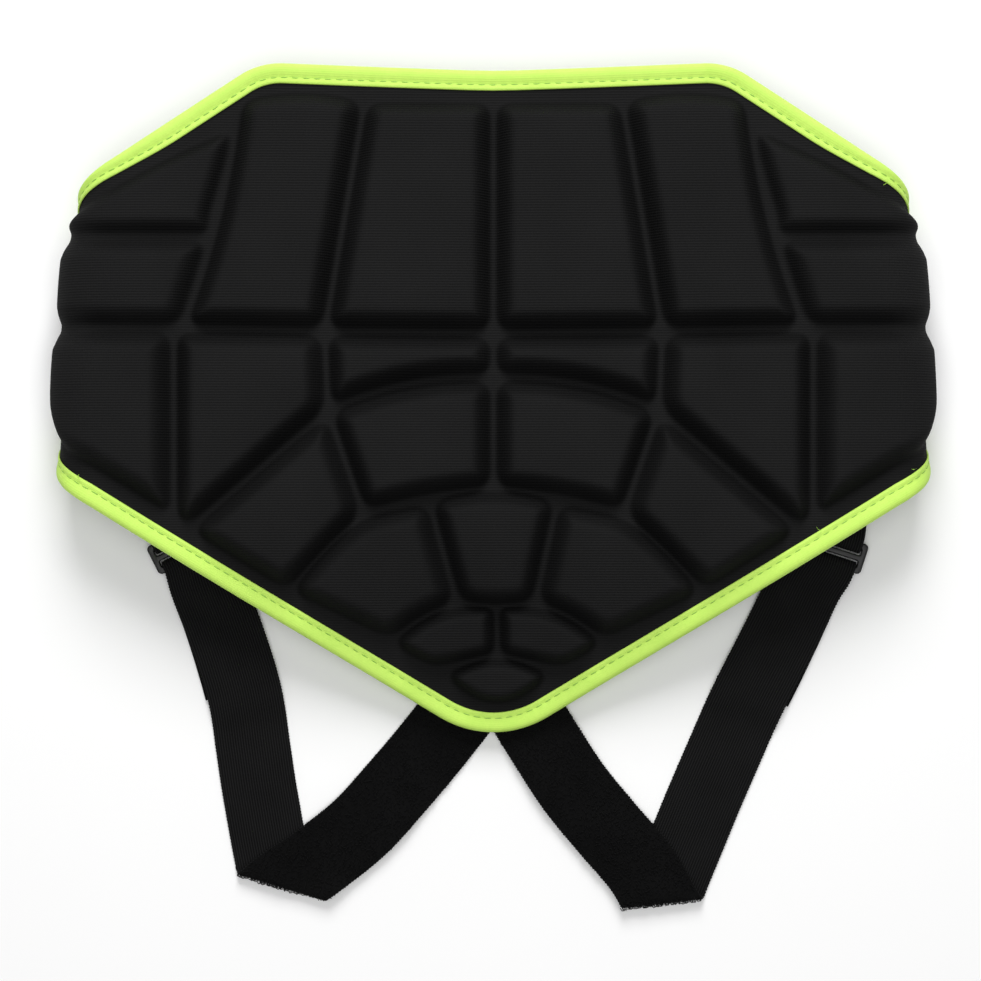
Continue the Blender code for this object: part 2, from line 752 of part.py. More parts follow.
def build_tape(stations):
    """Upper and lower tape, which meet in the middle of each wing's end."""
    middle = (WING_TOP + WING_BOTTOM) / 2
    count = len(stations)
    first = next(i for i in range(count) if stations[i][0].y > middle >= stations[i - 1][0].y)
    order = [stations[(first + i) % count] for i in range(count)]
    upper = [station for station in order if station[0].y > middle]
    lower = [station for station in order if station[0].y <= middle]
    for name, run, bend in (("binding_upper", upper, 1), ("binding_lower", lower, -1)):
        ends = []
        for point, across in (run[0], run[-1]):
            ends.append((Vector((point.x, middle + bend * STACK_CLEAR / 2)),
                         Vector((math.copysign(1, point.x), 0))))
        run = [ends[0]] + run + [ends[1]]
        rings = []
        for point, across in run:
            section = tape_section(tape_reach(point))
            rings.append([on_pattern(*(point + across * out), height) for out, height in section])
        tube(name, rings, LIME, 0.75)


# Straps, sliders and tabs

def spline(points, start_direction=None, samples=12):
    """A smooth plan curve through points, as finely spaced points."""
    tangents = []
    last = len(points) - 1
    for index, point in enumerate(points):
        before = points[max(0, index - 1)]
        after = points[min(last, index + 1)]
        tangents.append((after - before).normalized())
    if start_direction is not None:
        tangents[0] = start_direction
    curve = []
    for index in range(last):
        a, b = points[index], points[index + 1]
        span = (b - a).length
        for sample in range(samples):
            t = sample / samples
            curve.append(a * (2 * t ** 3 - 3 * t ** 2 + 1)
                         + tangents[index] * span * (t ** 3 - 2 * t ** 2 + t)
                         + b * (3 * t ** 2 - 2 * t ** 3)
                         + tangents[index + 1] * span * (t ** 3 - t ** 2))
    curve.append(points[-1].copy())
    return curve


class Route:
    """A plan curve read by the distance along it."""

    def __init__(self, curve):
        self.curve = curve
        self.marks = [0.0]
        for a, b in zip(curve, curve[1:]):
            self.marks.append(self.marks[-1] + (b - a).length)
        self.length = self.marks[-1]

    def at(self, s):
        marks = self.marks
        index = 0
        while index < len(marks) - 2 and marks[index + 1] < s:
            index += 1
        share = (s - marks[index]) / (marks[index + 1] - marks[index])
        a, b = self.curve[index], self.curve[index + 1]
        before = self.curve[max(0, index - 1)]
        after = self.curve[min(len(self.curve) - 1, index + 2)]
        first = (b - before).normalized()
        second = (after - a).normalized()
        return a.lerp(b, share), first.lerp(second, min(1.0, max(0.0, share))).normalized()

    def mark_near(self, point):
        best = min(range(len(self.curve)), key=lambda i: (self.curve[i] - point).length)
        return self.marks[best]


def lower_rim(x):
    """Height v of the panel's lower rim at a distance from the middle."""
    return -APEX_DROP + APEX_SLOPE * abs(x)


def strap_geometry(leg):
    """Slider place and direction, fold point and the unfolded route of a leg strap."""
    slider = Vector((leg["slider_across"] * PANEL_HALF, 0))
    slider.y = lower_rim(slider.x) + leg["slider_tuck"] * STRAP_WIDTH
    tilt = leg["slider_tilt"]
    down = Vector((-leg["side"] * math.sin(tilt), -math.cos(tilt)))
    bar = slider + down * BAR_PITCH
    fold = Vector((leg["fold_across"] * PANEL_HALF, APEX_TIP - leg["fold_drop"] * APEX_DROP))
    end_y = APEX_TIP + STRAP_END
    route = [bar]
    for share, across in leg["down"]:
        route.append(Vector((across * PANEL_HALF, slider.y + (fold.y - slider.y) * share)))
    route.append(fold)
    line = Vector((math.cos(leg["fold_line"]), math.sin(leg["fold_line"])))
    beyond = Vector((line.y, -line.x))
    for share, across in leg["up"]:
        point = Vector((across * PANEL_HALF, fold.y + (end_y - fold.y) * share))
        depth = (point - fold).dot(beyond)
        route.append(point - beyond * 2 * depth)
    return slider, down, bar, fold, line, beyond, Route(spline(route, down))


def strap_section(point_at):
    """Ring of six points across a strap: point_at(w, n) gives a point in space."""
    return [point_at(w, n) for n, row in ((STRAP / 2, (-STRAP_HALF, 0, STRAP_HALF)),
                                          (-STRAP / 2, (STRAP_HALF, 0, -STRAP_HALF)))
            for w in row]


def left_of(direction):
    return Vector((-direction.y, direction.x))


def build_leg(name, leg):
    slider, down, bar, fold, line, beyond, route = strap_geometry(leg)
    fold_mark = route.mark_near(fold)
    _, along = route.at(fold_mark)
    skew = -left_of(along).dot(beyond) / along.dot(beyond)
    outer = -1 if left_of(down).x * leg["side"] < 0 else 1

    def tail_point(s, w, n):
        centre, direction = route.at(s)
        side = left_of(direction)
        drift = outer * TAIL_DRIFT * smooth(s / STRAP_TAIL)
        spot = centre + side * (w + drift)
        return Vector((spot.x, spot.y, REST - n))

    def loop_point(angle, w, n):
        spot = bar + left_of(down) * w - down * (BAR_REACH + n) * math.sin(angle)
        return Vector((spot.x, spot.y, BAR_HEIGHT - (BAR_REACH + n) * math.cos(angle)))

    def first_height(s):
        top = BAR_HEIGHT + BAR_REACH
        over_tail = REST + LAYER
        height = top + (over_tail - top) * smooth(s / DOWN_RUN)
        return height + (REST - over_tail) * smooth((s - STRAP_TAIL - TAIL_SPARE) / TAIL_RUN)

    spread = math.acos(min(1.0, abs(left_of(along).dot(line)))) + math.radians(1)
    overlap = STRAP_HALF / max(0.2, math.cos(spread)) + STRAP_HALF * 0.9

    def second_height(depth, s):
        height = REST + 2 * LOOP_RADIUS
        height -= (2 * LOOP_RADIUS - LAYER) * smooth(depth / PINCH_RUN)
        height -= LAYER * smooth((depth - overlap) / SETTLE_RUN)
        climb = smooth((s - (route.length - CROSS_FROM)) / CROSS_RUN)
        return height + leg["over"] * LAYER * climb

    def main_point(s, w, n):
        near = 1 - smooth((abs(s - fold_mark) - SKEW_FROM) / SKEW_RUN)
        place = s + w * skew * near
        centre, direction = route.at(place)
        spot = centre + left_of(direction) * w
        depth = (spot - fold).dot(beyond)
        where = (spot - fold).dot(line)
        if depth <= 0:
            return Vector((spot.x, spot.y, first_height(place) + n))
        roll = math.pi * LOOP_RADIUS
        if depth < roll:
            angle = depth / LOOP_RADIUS
            reach = LOOP_RADIUS - n
            spot = fold + line * where + beyond * reach * math.sin(angle)
            return Vector((spot.x, spot.y, REST + LOOP_RADIUS - reach * math.cos(angle)))
        back = depth - roll
        spot = fold + line * where - beyond * back
        return Vector((spot.x, spot.y, second_height(back, place) - n))

    rings = []
    for step in range(TAIL_STEPS):
        s = STRAP_TAIL * (1 - step / TAIL_STEPS)
        rings.append(strap_section(lambda w, n: tail_point(s, w, n)))
    for step in range(LOOP_STEPS + 1):
        angle = math.pi * step / LOOP_STEPS
        rings.append(strap_section(lambda w, n: loop_point(angle, w, n)))
    roll = math.pi * LOOP_RADIUS
    stops = [DOWN_RUN * quarter / 4 for quarter in range(1, 5)]
    stops += spread_stops(DOWN_RUN, fold_mark, STRAP_STEP)[1:]
    stops += [fold_mark + roll * step / BEND_STEPS for step in range(1, BEND_STEPS + 1)]
    stops += [fold_mark + roll + PINCH_RUN * third / 3 for third in range(1, 4)]
    stops += spread_stops(fold_mark + roll + PINCH_RUN, route.length, STRAP_STEP)[1:]
    for s in stops:
        rings.append(strap_section(lambda w, n: main_point(s, w, n)))
    tube("strap_" + name, rings, BLACK, 0.9)
    build_slider("slider_" + name, slider, down)
    build_tab("tab_" + name, leg, slider, down)


def spread_stops(start, end, pitch):
    count = max(1, math.ceil((end - start) / pitch))
    return [start + (end - start) * step / count for step in range(count + 1)]


def build_slider(name, slider, down):
    """Flat frame with three bars and two slots."""
    across = left_of(down)
    inner = STRAP_HALF + SLOT_SIDE
    xs = (-inner - BAR, -inner, inner, inner + BAR)
    ys = [-1.5 * BAR - SLOT]
    for width in (BAR, SLOT, BAR, SLOT, BAR):
        ys.append(ys[-1] + width)
    corners = {}
    vertices = []
    for level, z in enumerate((BAR_HEIGHT - BAR / 2, BAR_HEIGHT + BAR / 2)):
        for row, y in enumerate(ys):
            for column, x in enumerate(xs):
                spot = slider + down * y + across * x
                corners[level, row, column] = len(vertices)
                vertices.append(Vector((spot.x, spot.y, z)))
    solid = {(row, column) for row in range(5) for column in range(3)
             if not (column == 1 and row in (1, 3))}
    faces = []
    for row, column in solid:
        square = ((row, column), (row, column + 1), (row + 1, column + 1), (row + 1, column))
        faces.append(tuple(corners[1, r, c] for r, c in square))
        faces.append(tuple(corners[0, r, c] for r, c in reversed(square)))
        neighbours = ((row - 1, column), (row, column + 1), (row + 1, column), (row, column - 1))
        for edge, neighbour in enumerate(neighbours):
            if neighbour not in solid:
                a, b = square[edge], square[(edge + 1) % 4]
                faces.append((corners[0, a[0], a[1]], corners[0, b[0], b[1]],
                              corners[1, b[0], b[1]], corners[1, a[0], a[1]]))
    frame = make_object(name, vertices, faces, (0.02, 0.02, 0.021), 0.35)
    bevel = frame.modifiers.new("soft_edges", "BEVEL")
    bevel.width = BAR * 0.2
    bevel.segments = 1
    bevel.limit_method = "ANGLE"


def build_tab(name, leg, slider, down):
    """Webbing tab from the slider's upper bar over the wing's tape onto its inner face."""
    bar = slider - down * BAR_PITCH
    end = Vector((leg["side"] * (TURN_START - STRAP_HALF - TAB_INSET), WING_BOTTOM))
    middle = Vector((bar.x * 0.55 + end.x * 0.45, (bar.y + end.y) / 2))
    tip = Vector((end.x, WING_BOTTOM + TAPE_WIDTH + TAB_GRIP))
    route = Route(spline([bar, middle, end, tip], -down))
    over_tape = 2 * TAPE_HALF + STACK_CLEAR + REST
    on_wing = WING_MID + WING_SHEET / 2 + STACK_CLEAR + REST
    rim_mark = route.mark_near(end)
    clear_mark = rim_mark + TAPE_WIDTH + TAB_CLEAR

    def height(s):
        top = BAR_HEIGHT + BAR_REACH
        low = REST + LAYER
        value = top + (low - top) * smooth(s / TAB_DOWN_RUN)
        value += (over_tape - low) * smooth((s - rim_mark + TAB_CLIMB_FROM) / TAB_CLIMB_RUN)
        return value + (on_wing - over_tape) * smooth((s - clear_mark) / TAB_STEP_RUN)

    def upper_point(s, w, n):
        centre, direction = route.at(s)
        spot = centre + left_of(direction) * w
        return Vector((spot.x, spot.y, height(s) + n))

    def loop_point(angle, w, n):
        spot = bar - left_of(down) * w + down * (BAR_REACH + n) * math.sin(angle)
        return Vector((spot.x, spot.y, BAR_HEIGHT - (BAR_REACH + n) * math.cos(angle)))

    def return_point(s, w, n):
        centre, direction = route.at(s)
        spot = centre + left_of(direction) * w
        return Vector((spot.x, spot.y, REST - n))

    rings = []
    for step in range(3):
        s = TAB_RETURN * (1 - step / 3)
        rings.append(strap_section(lambda w, n: return_point(s, w, n)))
    for step in range(LOOP_STEPS + 1):
        angle = math.pi * step / LOOP_STEPS
        rings.append(strap_section(lambda w, n: loop_point(angle, w, n)))
    for s in spread_stops(0.0, route.length, TAB_STEP)[1:]:
        rings.append(strap_section(lambda w, n: upper_point(s, w, n)))
    tube(name, rings, BLACK, 0.9)


def centre_on_floor():
    """Move everything so that the middle of its box is over the origin, at floor level."""
    corners = [vertex.co for thing in bpy.data.objects for vertex in thing.data.vertices]
    low = Vector([min(corner[axis] for corner in corners) for axis in range(3)])
    high = Vector([max(corner[axis] for corner in corners) for axis in range(3)])
    shift = Vector(((low.x + high.x) / 2, (low.y + high.y) / 2, low.z))
    for thing in bpy.data.objects:
        for vertex in thing.data.vertices:
            vertex.co -= shift
    print("moved by", tuple(round(value, 5) for value in shift))


def main():
    for thing in list(bpy.data.objects):
        bpy.data.objects.remove(thing)
    build_sheets()
    for name, leg in LEGS.items():
        build_leg(name, leg)
    centre_on_floor()


main()
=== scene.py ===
# Padded hip and tailbone protector lying flat: the looks of every piece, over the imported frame.
# Soft pieces are worked out on one flat pattern (u across, v up) and laid in their folded
# shape by onPattern(), as the solids were.

import math

import bmesh
import bpy
import numpy as np
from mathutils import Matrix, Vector, noise
from mathutils.geometry import delaunay_2d_cdt


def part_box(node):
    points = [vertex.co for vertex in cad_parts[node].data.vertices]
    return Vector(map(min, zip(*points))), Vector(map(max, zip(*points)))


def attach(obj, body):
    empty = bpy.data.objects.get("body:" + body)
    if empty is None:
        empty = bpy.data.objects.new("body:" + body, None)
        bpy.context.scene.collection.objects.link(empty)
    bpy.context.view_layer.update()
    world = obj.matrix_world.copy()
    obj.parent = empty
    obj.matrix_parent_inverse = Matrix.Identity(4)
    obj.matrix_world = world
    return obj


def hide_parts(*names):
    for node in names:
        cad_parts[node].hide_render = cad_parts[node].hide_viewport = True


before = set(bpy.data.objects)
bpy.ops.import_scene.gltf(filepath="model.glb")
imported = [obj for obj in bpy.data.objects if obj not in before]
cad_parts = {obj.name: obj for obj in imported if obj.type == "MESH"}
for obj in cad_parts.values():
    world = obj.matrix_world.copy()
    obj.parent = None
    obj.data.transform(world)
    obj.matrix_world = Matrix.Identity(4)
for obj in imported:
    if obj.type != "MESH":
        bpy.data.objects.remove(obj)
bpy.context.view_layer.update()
scene = bpy.context.scene
print("frame loaded:", len(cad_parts), "nodes")

pattern = {
    "half": 0.1726,           # from the middle to a side fold
    "apexDrop": 0.1062,
    "waistRise": 0.1685,
    "shoulderRise": 0.1714,
    "shoulderShare": 0.542,
    "sheet": 0.003,
    "foldRadius": 0.014,
    "foldTilt": 0.062,
    "foldCurve": 0.3001,
    "foldLevel": 0.035,
    "waistSag": 0.006,
    "droopFrom": 0.004,
    "clear": 0.0003,          # between pieces that lie on each other
}
wing = {
    "root": 0.012,
    "join": 0.0018,
    "top": 0.0914,
    "bottom": 0.0265,
    "sheet": 0.0024,
    "overlap": 0.050,
    "liftRun": 0.045,
    "liftSpare": 0.005,
    "mesh": 0.004,
}
tape = {
    "thick": 0.0008,
    "gap": 0.0004,
    "width": 0.0083,
    "crowd": 0.32,            # share of the width lost at the flank pads
    "crowdFrom": 0.75,
    "crowdRun": 0.22,
    "step": 0.00055,
    "stitchIn": 0.0024,       # stitch line, from the tape's inner edge
    "stitchPitch": 0.0044,
    "stitchLength": 0.0031,
    "threadRadius": 0.00030,
    "pucker": 0.00016,
}
webbing = {
    "width": 0.030,
    "thick": 0.0015,
    "tail": 0.060,
    "tailDrift": 0.0012,
    "endReach": 0.0175,       # how far a strap's end reaches inside the lower point
    "loopRadius": 0.0015,
    "downRun": 0.016,
    "tailRun": 0.014,
    "tailSpare": 0.002,
    "pinchRun": 0.012,
    "settleRun": 0.030,
    "skewFrom": 0.020,
    "skewRun": 0.035,
    "crossFrom": 0.052,
    "crossRun": 0.018,
    "step": 0.0013,
    "ribs": 29,
    "ribHeight": 0.00011,
}
tab = {
    "fold": 0.014,            # length folded back under it
    "inset": 0.00625,
    "grip": 0.010,
    "downRun": 0.012,
    "climbRun": 0.014,
    "climbFrom": 0.018,
    "stepRun": 0.005,
    "clear": 0.0015,
}
slider = {
    "bar": 0.0024,
    "slot": 0.0028,
    "side": 0.0006,
}

tapeHalf = pattern["sheet"] / 2 + tape["gap"] + tape["thick"]
wingMid = tapeHalf
faceTop = wingMid + 2 * pattern["foldRadius"]
turnLength = math.pi * pattern["foldRadius"]
turnStart = pattern["half"] - pattern["foldRadius"]
wingLiftHeight = 2 * tapeHalf + pattern["clear"]
tapeSeat = tape["thick"] + pattern["clear"]
liftFoot = wing["overlap"] / 2 + wing["liftSpare"]
seamAt = turnStart + turnLength + wing["join"]
wingTip = turnStart + turnLength + turnStart + wing["overlap"] / 2
wingCorner = turnStart + turnLength + wing["root"]
layer = webbing["thick"] + pattern["clear"]
strapHalf = webbing["width"] / 2
rest = webbing["thick"] / 2

# Rim corners of the right half: across, up, rounding
rimCorners = [
    (0.0, pattern["waistRise"], 0.300),
    (pattern["shoulderShare"] * pattern["half"], pattern["shoulderRise"], 0.030),
    (wingCorner, wing["top"], 0.030),
    (wingTip, wing["top"], 0.012),
    (wingTip, wing["bottom"], 0.012),
    (wingCorner, wing["bottom"], 0.030),
    (0.0, -pattern["apexDrop"], 0.042),
]
apexSlope = (wing["bottom"] + pattern["apexDrop"]) / wingCorner
apexTip = -pattern["apexDrop"] + rimCorners[-1][2] * (math.hypot(1, apexSlope) - 1)
apexClear = 2 * layer + tapeHalf
shift = Vector((0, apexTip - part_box("binding_lower")[0].y, 0))    # the solids' centring


def smooth(t):
    t = min(1.0, max(0.0, t))
    return t * t * (3 - 2 * t)


def foldStart(v):
    rise = v - pattern["foldLevel"]
    return turnStart - rise * (pattern["foldTilt"] + pattern["foldCurve"] * rise)


def faceHeight(s, v):
    inward = (1 - (s / foldStart(v)) ** 2) ** 2
    droop = smooth((pattern["droopFrom"] - v) / (pattern["droopFrom"] - apexTip))
    sag = pattern["waistSag"]
    return faceTop - inward * (sag + (faceTop - apexClear - sag) * droop)


def wingLift(side, x):
    if side > 0:
        return 0.0
    return wingLiftHeight * smooth((liftFoot + wing["liftRun"] - x) / wing["liftRun"])


def onPattern(u, v, n):
    side = 1 if u >= 0 else -1
    s = abs(u)
    start = foldStart(v)
    if s <= start:
        return Vector((u, v, faceHeight(s, v) + n)) - shift
    if s <= start + turnLength:
        turn = (s - start) / pattern["foldRadius"]
        reach = pattern["foldRadius"] + n
        x = start + reach * math.sin(turn)
        z = wingMid + pattern["foldRadius"] + reach * math.cos(turn)
        return Vector((side * x, v, z)) - shift
    x = start - (s - start - turnLength)
    return Vector((side * x, v, wingMid - n + wingLift(side, x))) - shift


# Meshes

def makePiece(name, vertices, faces, material, slot, uv=None, sharp=None):
    mesh = bpy.data.meshes.new(name)
    mesh.from_pydata([tuple(vertex) for vertex in vertices], [], faces)
    mesh.update()
    if uv is not None:
        corner = np.empty(len(mesh.loops), np.int32)
        mesh.loops.foreach_get("vertex_index", corner)
        flat = np.asarray([tuple(place) for place in uv], np.float32)[corner]
        mesh.uv_layers.new(name="cloth").data.foreach_set("uv", flat.ravel())
    shell = bmesh.new()
    shell.from_mesh(mesh)
    bmesh.ops.recalc_face_normals(shell, faces=shell.faces)
    shell.to_mesh(mesh)
    shell.free()
    mesh.shade_smooth()
    if sharp:
        mesh.set_sharp_from_angle(angle=math.radians(sharp))
    mesh.materials.append(material)
    piece = bpy.data.objects.new(name, mesh)
    scene.collection.objects.link(piece)
    if slot:
        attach(piece, "root")
    return piece


def insideMany(points, loop):
    hit = np.zeros(len(points), bool)
    x, y = points[:, 0], points[:, 1]
    for a, b in zip(loop, np.roll(loop, -1, axis=0)):
        if a[1] == b[1]:
            continue
        crosses = (a[1] > y) != (b[1] > y)
        hit ^= crosses & (x < a[0] + (y - a[1]) / (b[1] - a[1]) * (b[0] - a[0]))
    return hit


def distanceMany(points, loop):
    best = np.full(len(points), 1.0)
    for a, b in zip(loop, np.roll(loop, -1, axis=0)):
        edge = b - a
        share = np.clip((points - a) @ edge / max(edge @ edge, 1e-12), 0, 1)
        gap = points - a - share[:, None] * edge
        best = np.minimum(best, np.hypot(gap[:, 0], gap[:, 1]))
    return best


def dotsWithin(loop, pitch, margin):
    loop = np.array([tuple(point) for point in loop])
    low, high = loop.min(0), loop.max(0)
    columns = np.arange(low[0] + pitch / 2, high[0], pitch)
    rows = np.arange(low[1] + pitch / 2, high[1], pitch * 0.866)
    dots = np.array([(x + (row % 2) * pitch / 2, y) for row, y in enumerate(rows) for x in columns])
    if not len(dots):
        return dots.reshape(0, 2)
    dots = dots[insideMany(dots, loop)]
    return dots[distanceMany(dots, loop) > margin]


def triangulate(outer, holes=(), dots=()):
    loops = [np.array([tuple(point) for point in outer])]
    loops += [np.array([tuple(point) for point in hole]) for hole in holes]
    coords, edges, owner = [], [], []
    for index, loop in enumerate(loops):
        first = len(coords)
        coords += [Vector(point) for point in loop]
        edges += [(first + i, first + (i + 1) % len(loop)) for i in range(len(loop))]
        owner += [index] * len(loop)
    coords += [Vector(dot) for dot in dots]
    points, _, faces, sources, _, _ = delaunay_2d_cdt(coords, edges, [], 0, 1e-7, True)
    fromLoop = [min([owner[i] for i in source if i < len(owner)], default=-1) for source in sources]
    placed = {}
    for place, source in enumerate(sources):
        for original in source:
            placed[original] = place
    flat = np.array([tuple(point) for point in points])
    kept = []
    doubtful = {}
    for face in faces:
        names = {fromLoop[corner] for corner in face}
        if len(names) == 1 and -1 not in names:
            doubtful.setdefault(names.pop(), []).append(face)
        else:
            kept.append(tuple(face))
    for index, group in doubtful.items():
        middles = flat[np.array(group)].mean(1)
        within = insideMany(middles, loops[index])
        kept += [tuple(face) for face, hit in zip(group, within) if hit == (index == 0)]
    return points, kept, [placed[i] for i in range(len(owner))]


def roundedLoop(corners):
    loop = []
    count = len(corners)
    for index, (x, y, radius) in enumerate(corners):
        here = Vector((x, y))
        before = (here - Vector(corners[index - 1][:2])).normalized()
        after = (Vector(corners[(index + 1) % count][:2]) - here).normalized()
        turn = math.atan2(before.cross(after), before.dot(after))
        outward = Vector((-before.y, before.x))
        start = here - before * radius * math.tan(abs(turn) / 2)
        bend = math.copysign(1, turn)
        centre = start + outward * radius * bend
        steps = max(1, math.ceil(abs(turn) / math.radians(3)))
        for step in range(steps + 1):
            angle = turn * step / steps
            normal = Vector((outward.x * math.cos(angle) - outward.y * math.sin(angle),
                             outward.x * math.sin(angle) + outward.y * math.cos(angle)))
            loop.append((centre - normal * radius * bend, normal))
    return loop


def rimStations(step):
    mirrored = [(-x, y, radius) for x, y, radius in reversed(rimCorners[1:-1])]
    loop = roundedLoop(rimCorners + mirrored)
    stations = []
    for index, (here, normal) in enumerate(loop):
        there, nextNormal = loop[(index + 1) % len(loop)]
        length = (there - here).length
        if length < 1e-7:
            continue
        marks = [0.0, 1.0]
        if (abs(here.x) - seamAt) * (abs(there.x) - seamAt) < 0:
            marks.insert(1, (seamAt - abs(here.x)) / (abs(there.x) - abs(here.x)))
        for start, end in zip(marks, marks[1:]):
            pieces = max(1, math.ceil((end - start) * length / step))
            for piece in range(pieces):
                share = start + (end - start) * piece / pieces
                stations.append((here.lerp(there, share), normal.lerp(nextNormal, share).normalized()))
    return stations


def tapeReach(point):
    if point.y < wing["bottom"]:
        return tape["width"]
    half = pattern["half"]
    crowd = smooth((abs(point.x) - tape["crowdFrom"] * half) / (tape["crowdRun"] * half))
    return tape["width"] * (1 - tape["crowd"] * crowd)


# Pads: where grooves meet on the right half, as shares of the half width and of the rise
# above the hip line or the drop below it.
pad = {
    "height": 0.009,
    "wall": 0.0070,
    "wallCurve": 1.65,        # 1 is a straight slope, more is rounder at the top
    "corner": 0.0065,
    "groove": 0.003,
    "lean": 0.0016,
    "leanRun": 0.070,
    "thinFrom": 0.81,
    "thinTo": 0.70,
    "crown": 0.0014,          # how far a pad's top bulges between its edges
    "softening": 3,           # passes that round the feet and ridges
    "bridge": 0.0040,         # how far the grooves fill up where they go round the side folds
    "bridgeTop": 0.0068,
    "steep": 0.85,            # mean slope that counts as a wall
    "edgeStep": 0.0016,
    "arcPieces": 8,
    "faceMesh": 0.00098,
    "backMesh": 0.0045,
    "unevenness": 0.00022,
}
junctions = {
    "waistMid": (0.000, 0.932), "waistSide": (0.298, 0.932), "waistOut": (0.588, 0.932),
    "backMid": (0.000, 0.374), "backSide": (0.392, 0.378), "backOut": (0.721, 0.385),
    "hipTop": (0.739, 0.385), "hipLow": (0.739, -0.113),
    "flankIn": (0.652, 0.645), "flankBend": (0.607, 0.800), "flankTip": (0.600, 0.868),
    "flankEdge": (0.938, 0.690), "flankEnd": (1.046, 0.640),
    "sideTop": (1.054, 0.603), "sideIn": (0.652, 0.603), "sideLow": (1.054, 0.387),
    "thighEnd": (1.054, 0.190), "thighLow": (1.010, 0.098),
    "seatMid": (0.000, 0.268), "seatSide": (0.384, 0.190), "seatOut": (0.696, -0.130),
    "lowMid": (0.000, 0.001), "lowSide": (0.301, -0.089), "lowOut": (0.487, -0.391),
    "cornerOut": (0.687, -0.184),
    "dropTop": (0.150, -0.033), "dropLow": (0.090, -0.431),
    "tailSide": (0.250, -0.580), "tailMid": (0.000, -0.429), "tailLow": (0.145, -0.683),
    "tailFloor": (0.000, -0.631), "tipSide": (0.130, -0.709),
}
# Corners in order, how far each edge swells outwards, height share, wall share, both sides
pads = [
    ("waistMid waistSide backSide backMid", (0, 0, 0, 0), 1.0, 1.0, True),
    ("waistSide waistOut backOut backSide", (.07, -.035, 0, 0), 1.0, 1.0, True),
    ("flankIn flankBend flankTip flankEdge flankEnd sideTop sideIn", (0, 0, .02, 0, 0, 0, 0),
     0.62, 0.75, True),
    ("sideIn sideTop sideLow backOut", (0, 0, 0, 0), 0.78, 1.0, True),
    ("hipTop sideLow thighEnd thighLow hipLow", (0, 0, 0, 0, 0), 0.90, 1.1, True),
    ("backMid backSide seatSide seatMid", (0, 0, -.062, 0), 1.0, 1.0, True),
    ("backSide hipTop hipLow seatOut seatSide", (0, 0, 0, 0, 0), 1.0, 1.0, True),
    ("seatMid seatSide lowSide lowMid", (.062, 0, -.034, 0), 1.0, 1.0, True),
    ("seatSide seatOut cornerOut lowOut lowSide", (0, 0, 0, 0, 0), 1.0, 1.0, True),
    ("dropTop lowSide lowOut tailSide dropLow", (0, .05, 0, -.05, 0), 0.94, 1.0, True),
    ("tailMid dropLow tailSide tailLow tailFloor", (0, .08, .07, 0, 0), 0.90, 0.62, True),
    ("-dropTop dropTop dropLow -dropLow", (.09, 0, .05, 0), 0.94, 0.9, False),
    ("-tipSide tipSide", (.18, .28), 0.74, 0.5, False),
]
def junction(name):
    side = -1 if name.startswith("-") else 1
    across, up = junctions[name.lstrip("-")]
    return Vector((side * across * pattern["half"],
                   up * (pattern["waistRise"] if up > 0 else pattern["apexDrop"])))


def rightOf(direction):
    return Vector((direction.y, -direction.x))


def padOutline(corners, bows, inset, rounding):
    size = len(corners)
    ends = []
    for index, here in enumerate(corners):
        chord = corners[(index + 1) % size] - here
        swell = -rightOf(chord) * 4 * bows[index]
        ends.append(((chord + swell).normalized(), (chord - swell).normalized()))
    moved = []
    for index, here in enumerate(corners):
        first = rightOf(ends[index - 1][1])
        second = rightOf(ends[index][0])
        moved.append(here + (first + second) * inset / max(0.3, 1 + first.dot(second)))

    def onEdge(index, share):
        after = (index + 1) % size
        chord = corners[after] - corners[index]
        outward = -rightOf(chord).normalized()
        rise = ((moved[index] - corners[index]) + (moved[after] - corners[index])).dot(outward) / 2
        swell = bows[index] * chord.length - inset - rise
        place = moved[index].lerp(moved[after], share)
        return place + outward * 4 * swell * share * (1 - share)

    lengths = [(moved[(i + 1) % size] - moved[i]).length for i in range(size)]
    cuts = [min(rounding, length * 0.42) / length for length in lengths]
    counts = [max(2, math.ceil(length * (1 - 2 * cut) / pad["edgeStep"]))
              for length, cut in zip(lengths, cuts)]
    ring = []
    for index in range(size):
        after = (index + 1) % size
        for step in range(counts[index] + 1):
            ring.append(onEdge(index, cuts[index] + (1 - 2 * cuts[index]) * step / counts[index]))
        start = ring[-1]
        end = onEdge(after, cuts[after])
        for step in range(1, pad["arcPieces"]):
            t = step / pad["arcPieces"]
            ring.append(start * (1 - t) ** 2 + moved[after] * 2 * t * (1 - t) + end * t ** 2)
    return ring


def thinning(u):
    start = pad["thinFrom"] * pattern["half"]
    end = turnStart + pattern["foldRadius"] * math.pi / 2
    return 1 - (1 - pad["thinTo"]) * min(1.0, max(0.0, (abs(u) - start) / (end - start)))


def leaned(point, side):
    return Vector((side * point.x + pad["lean"] * smooth(-point.y / pad["leanRun"]), point.y))


def edgeEnds(faces):
    corners = np.array(faces)
    pairs = np.concatenate([corners[:, [0, 1]], corners[:, [1, 2]], corners[:, [2, 0]]])
    return np.unique(np.sort(pairs, axis=1), axis=0)


def averaged(values, ends, count):
    total = np.bincount(ends[:, 0], values[ends[:, 1]], len(values))
    total += np.bincount(ends[:, 1], values[ends[:, 0]], len(values))
    return total / count


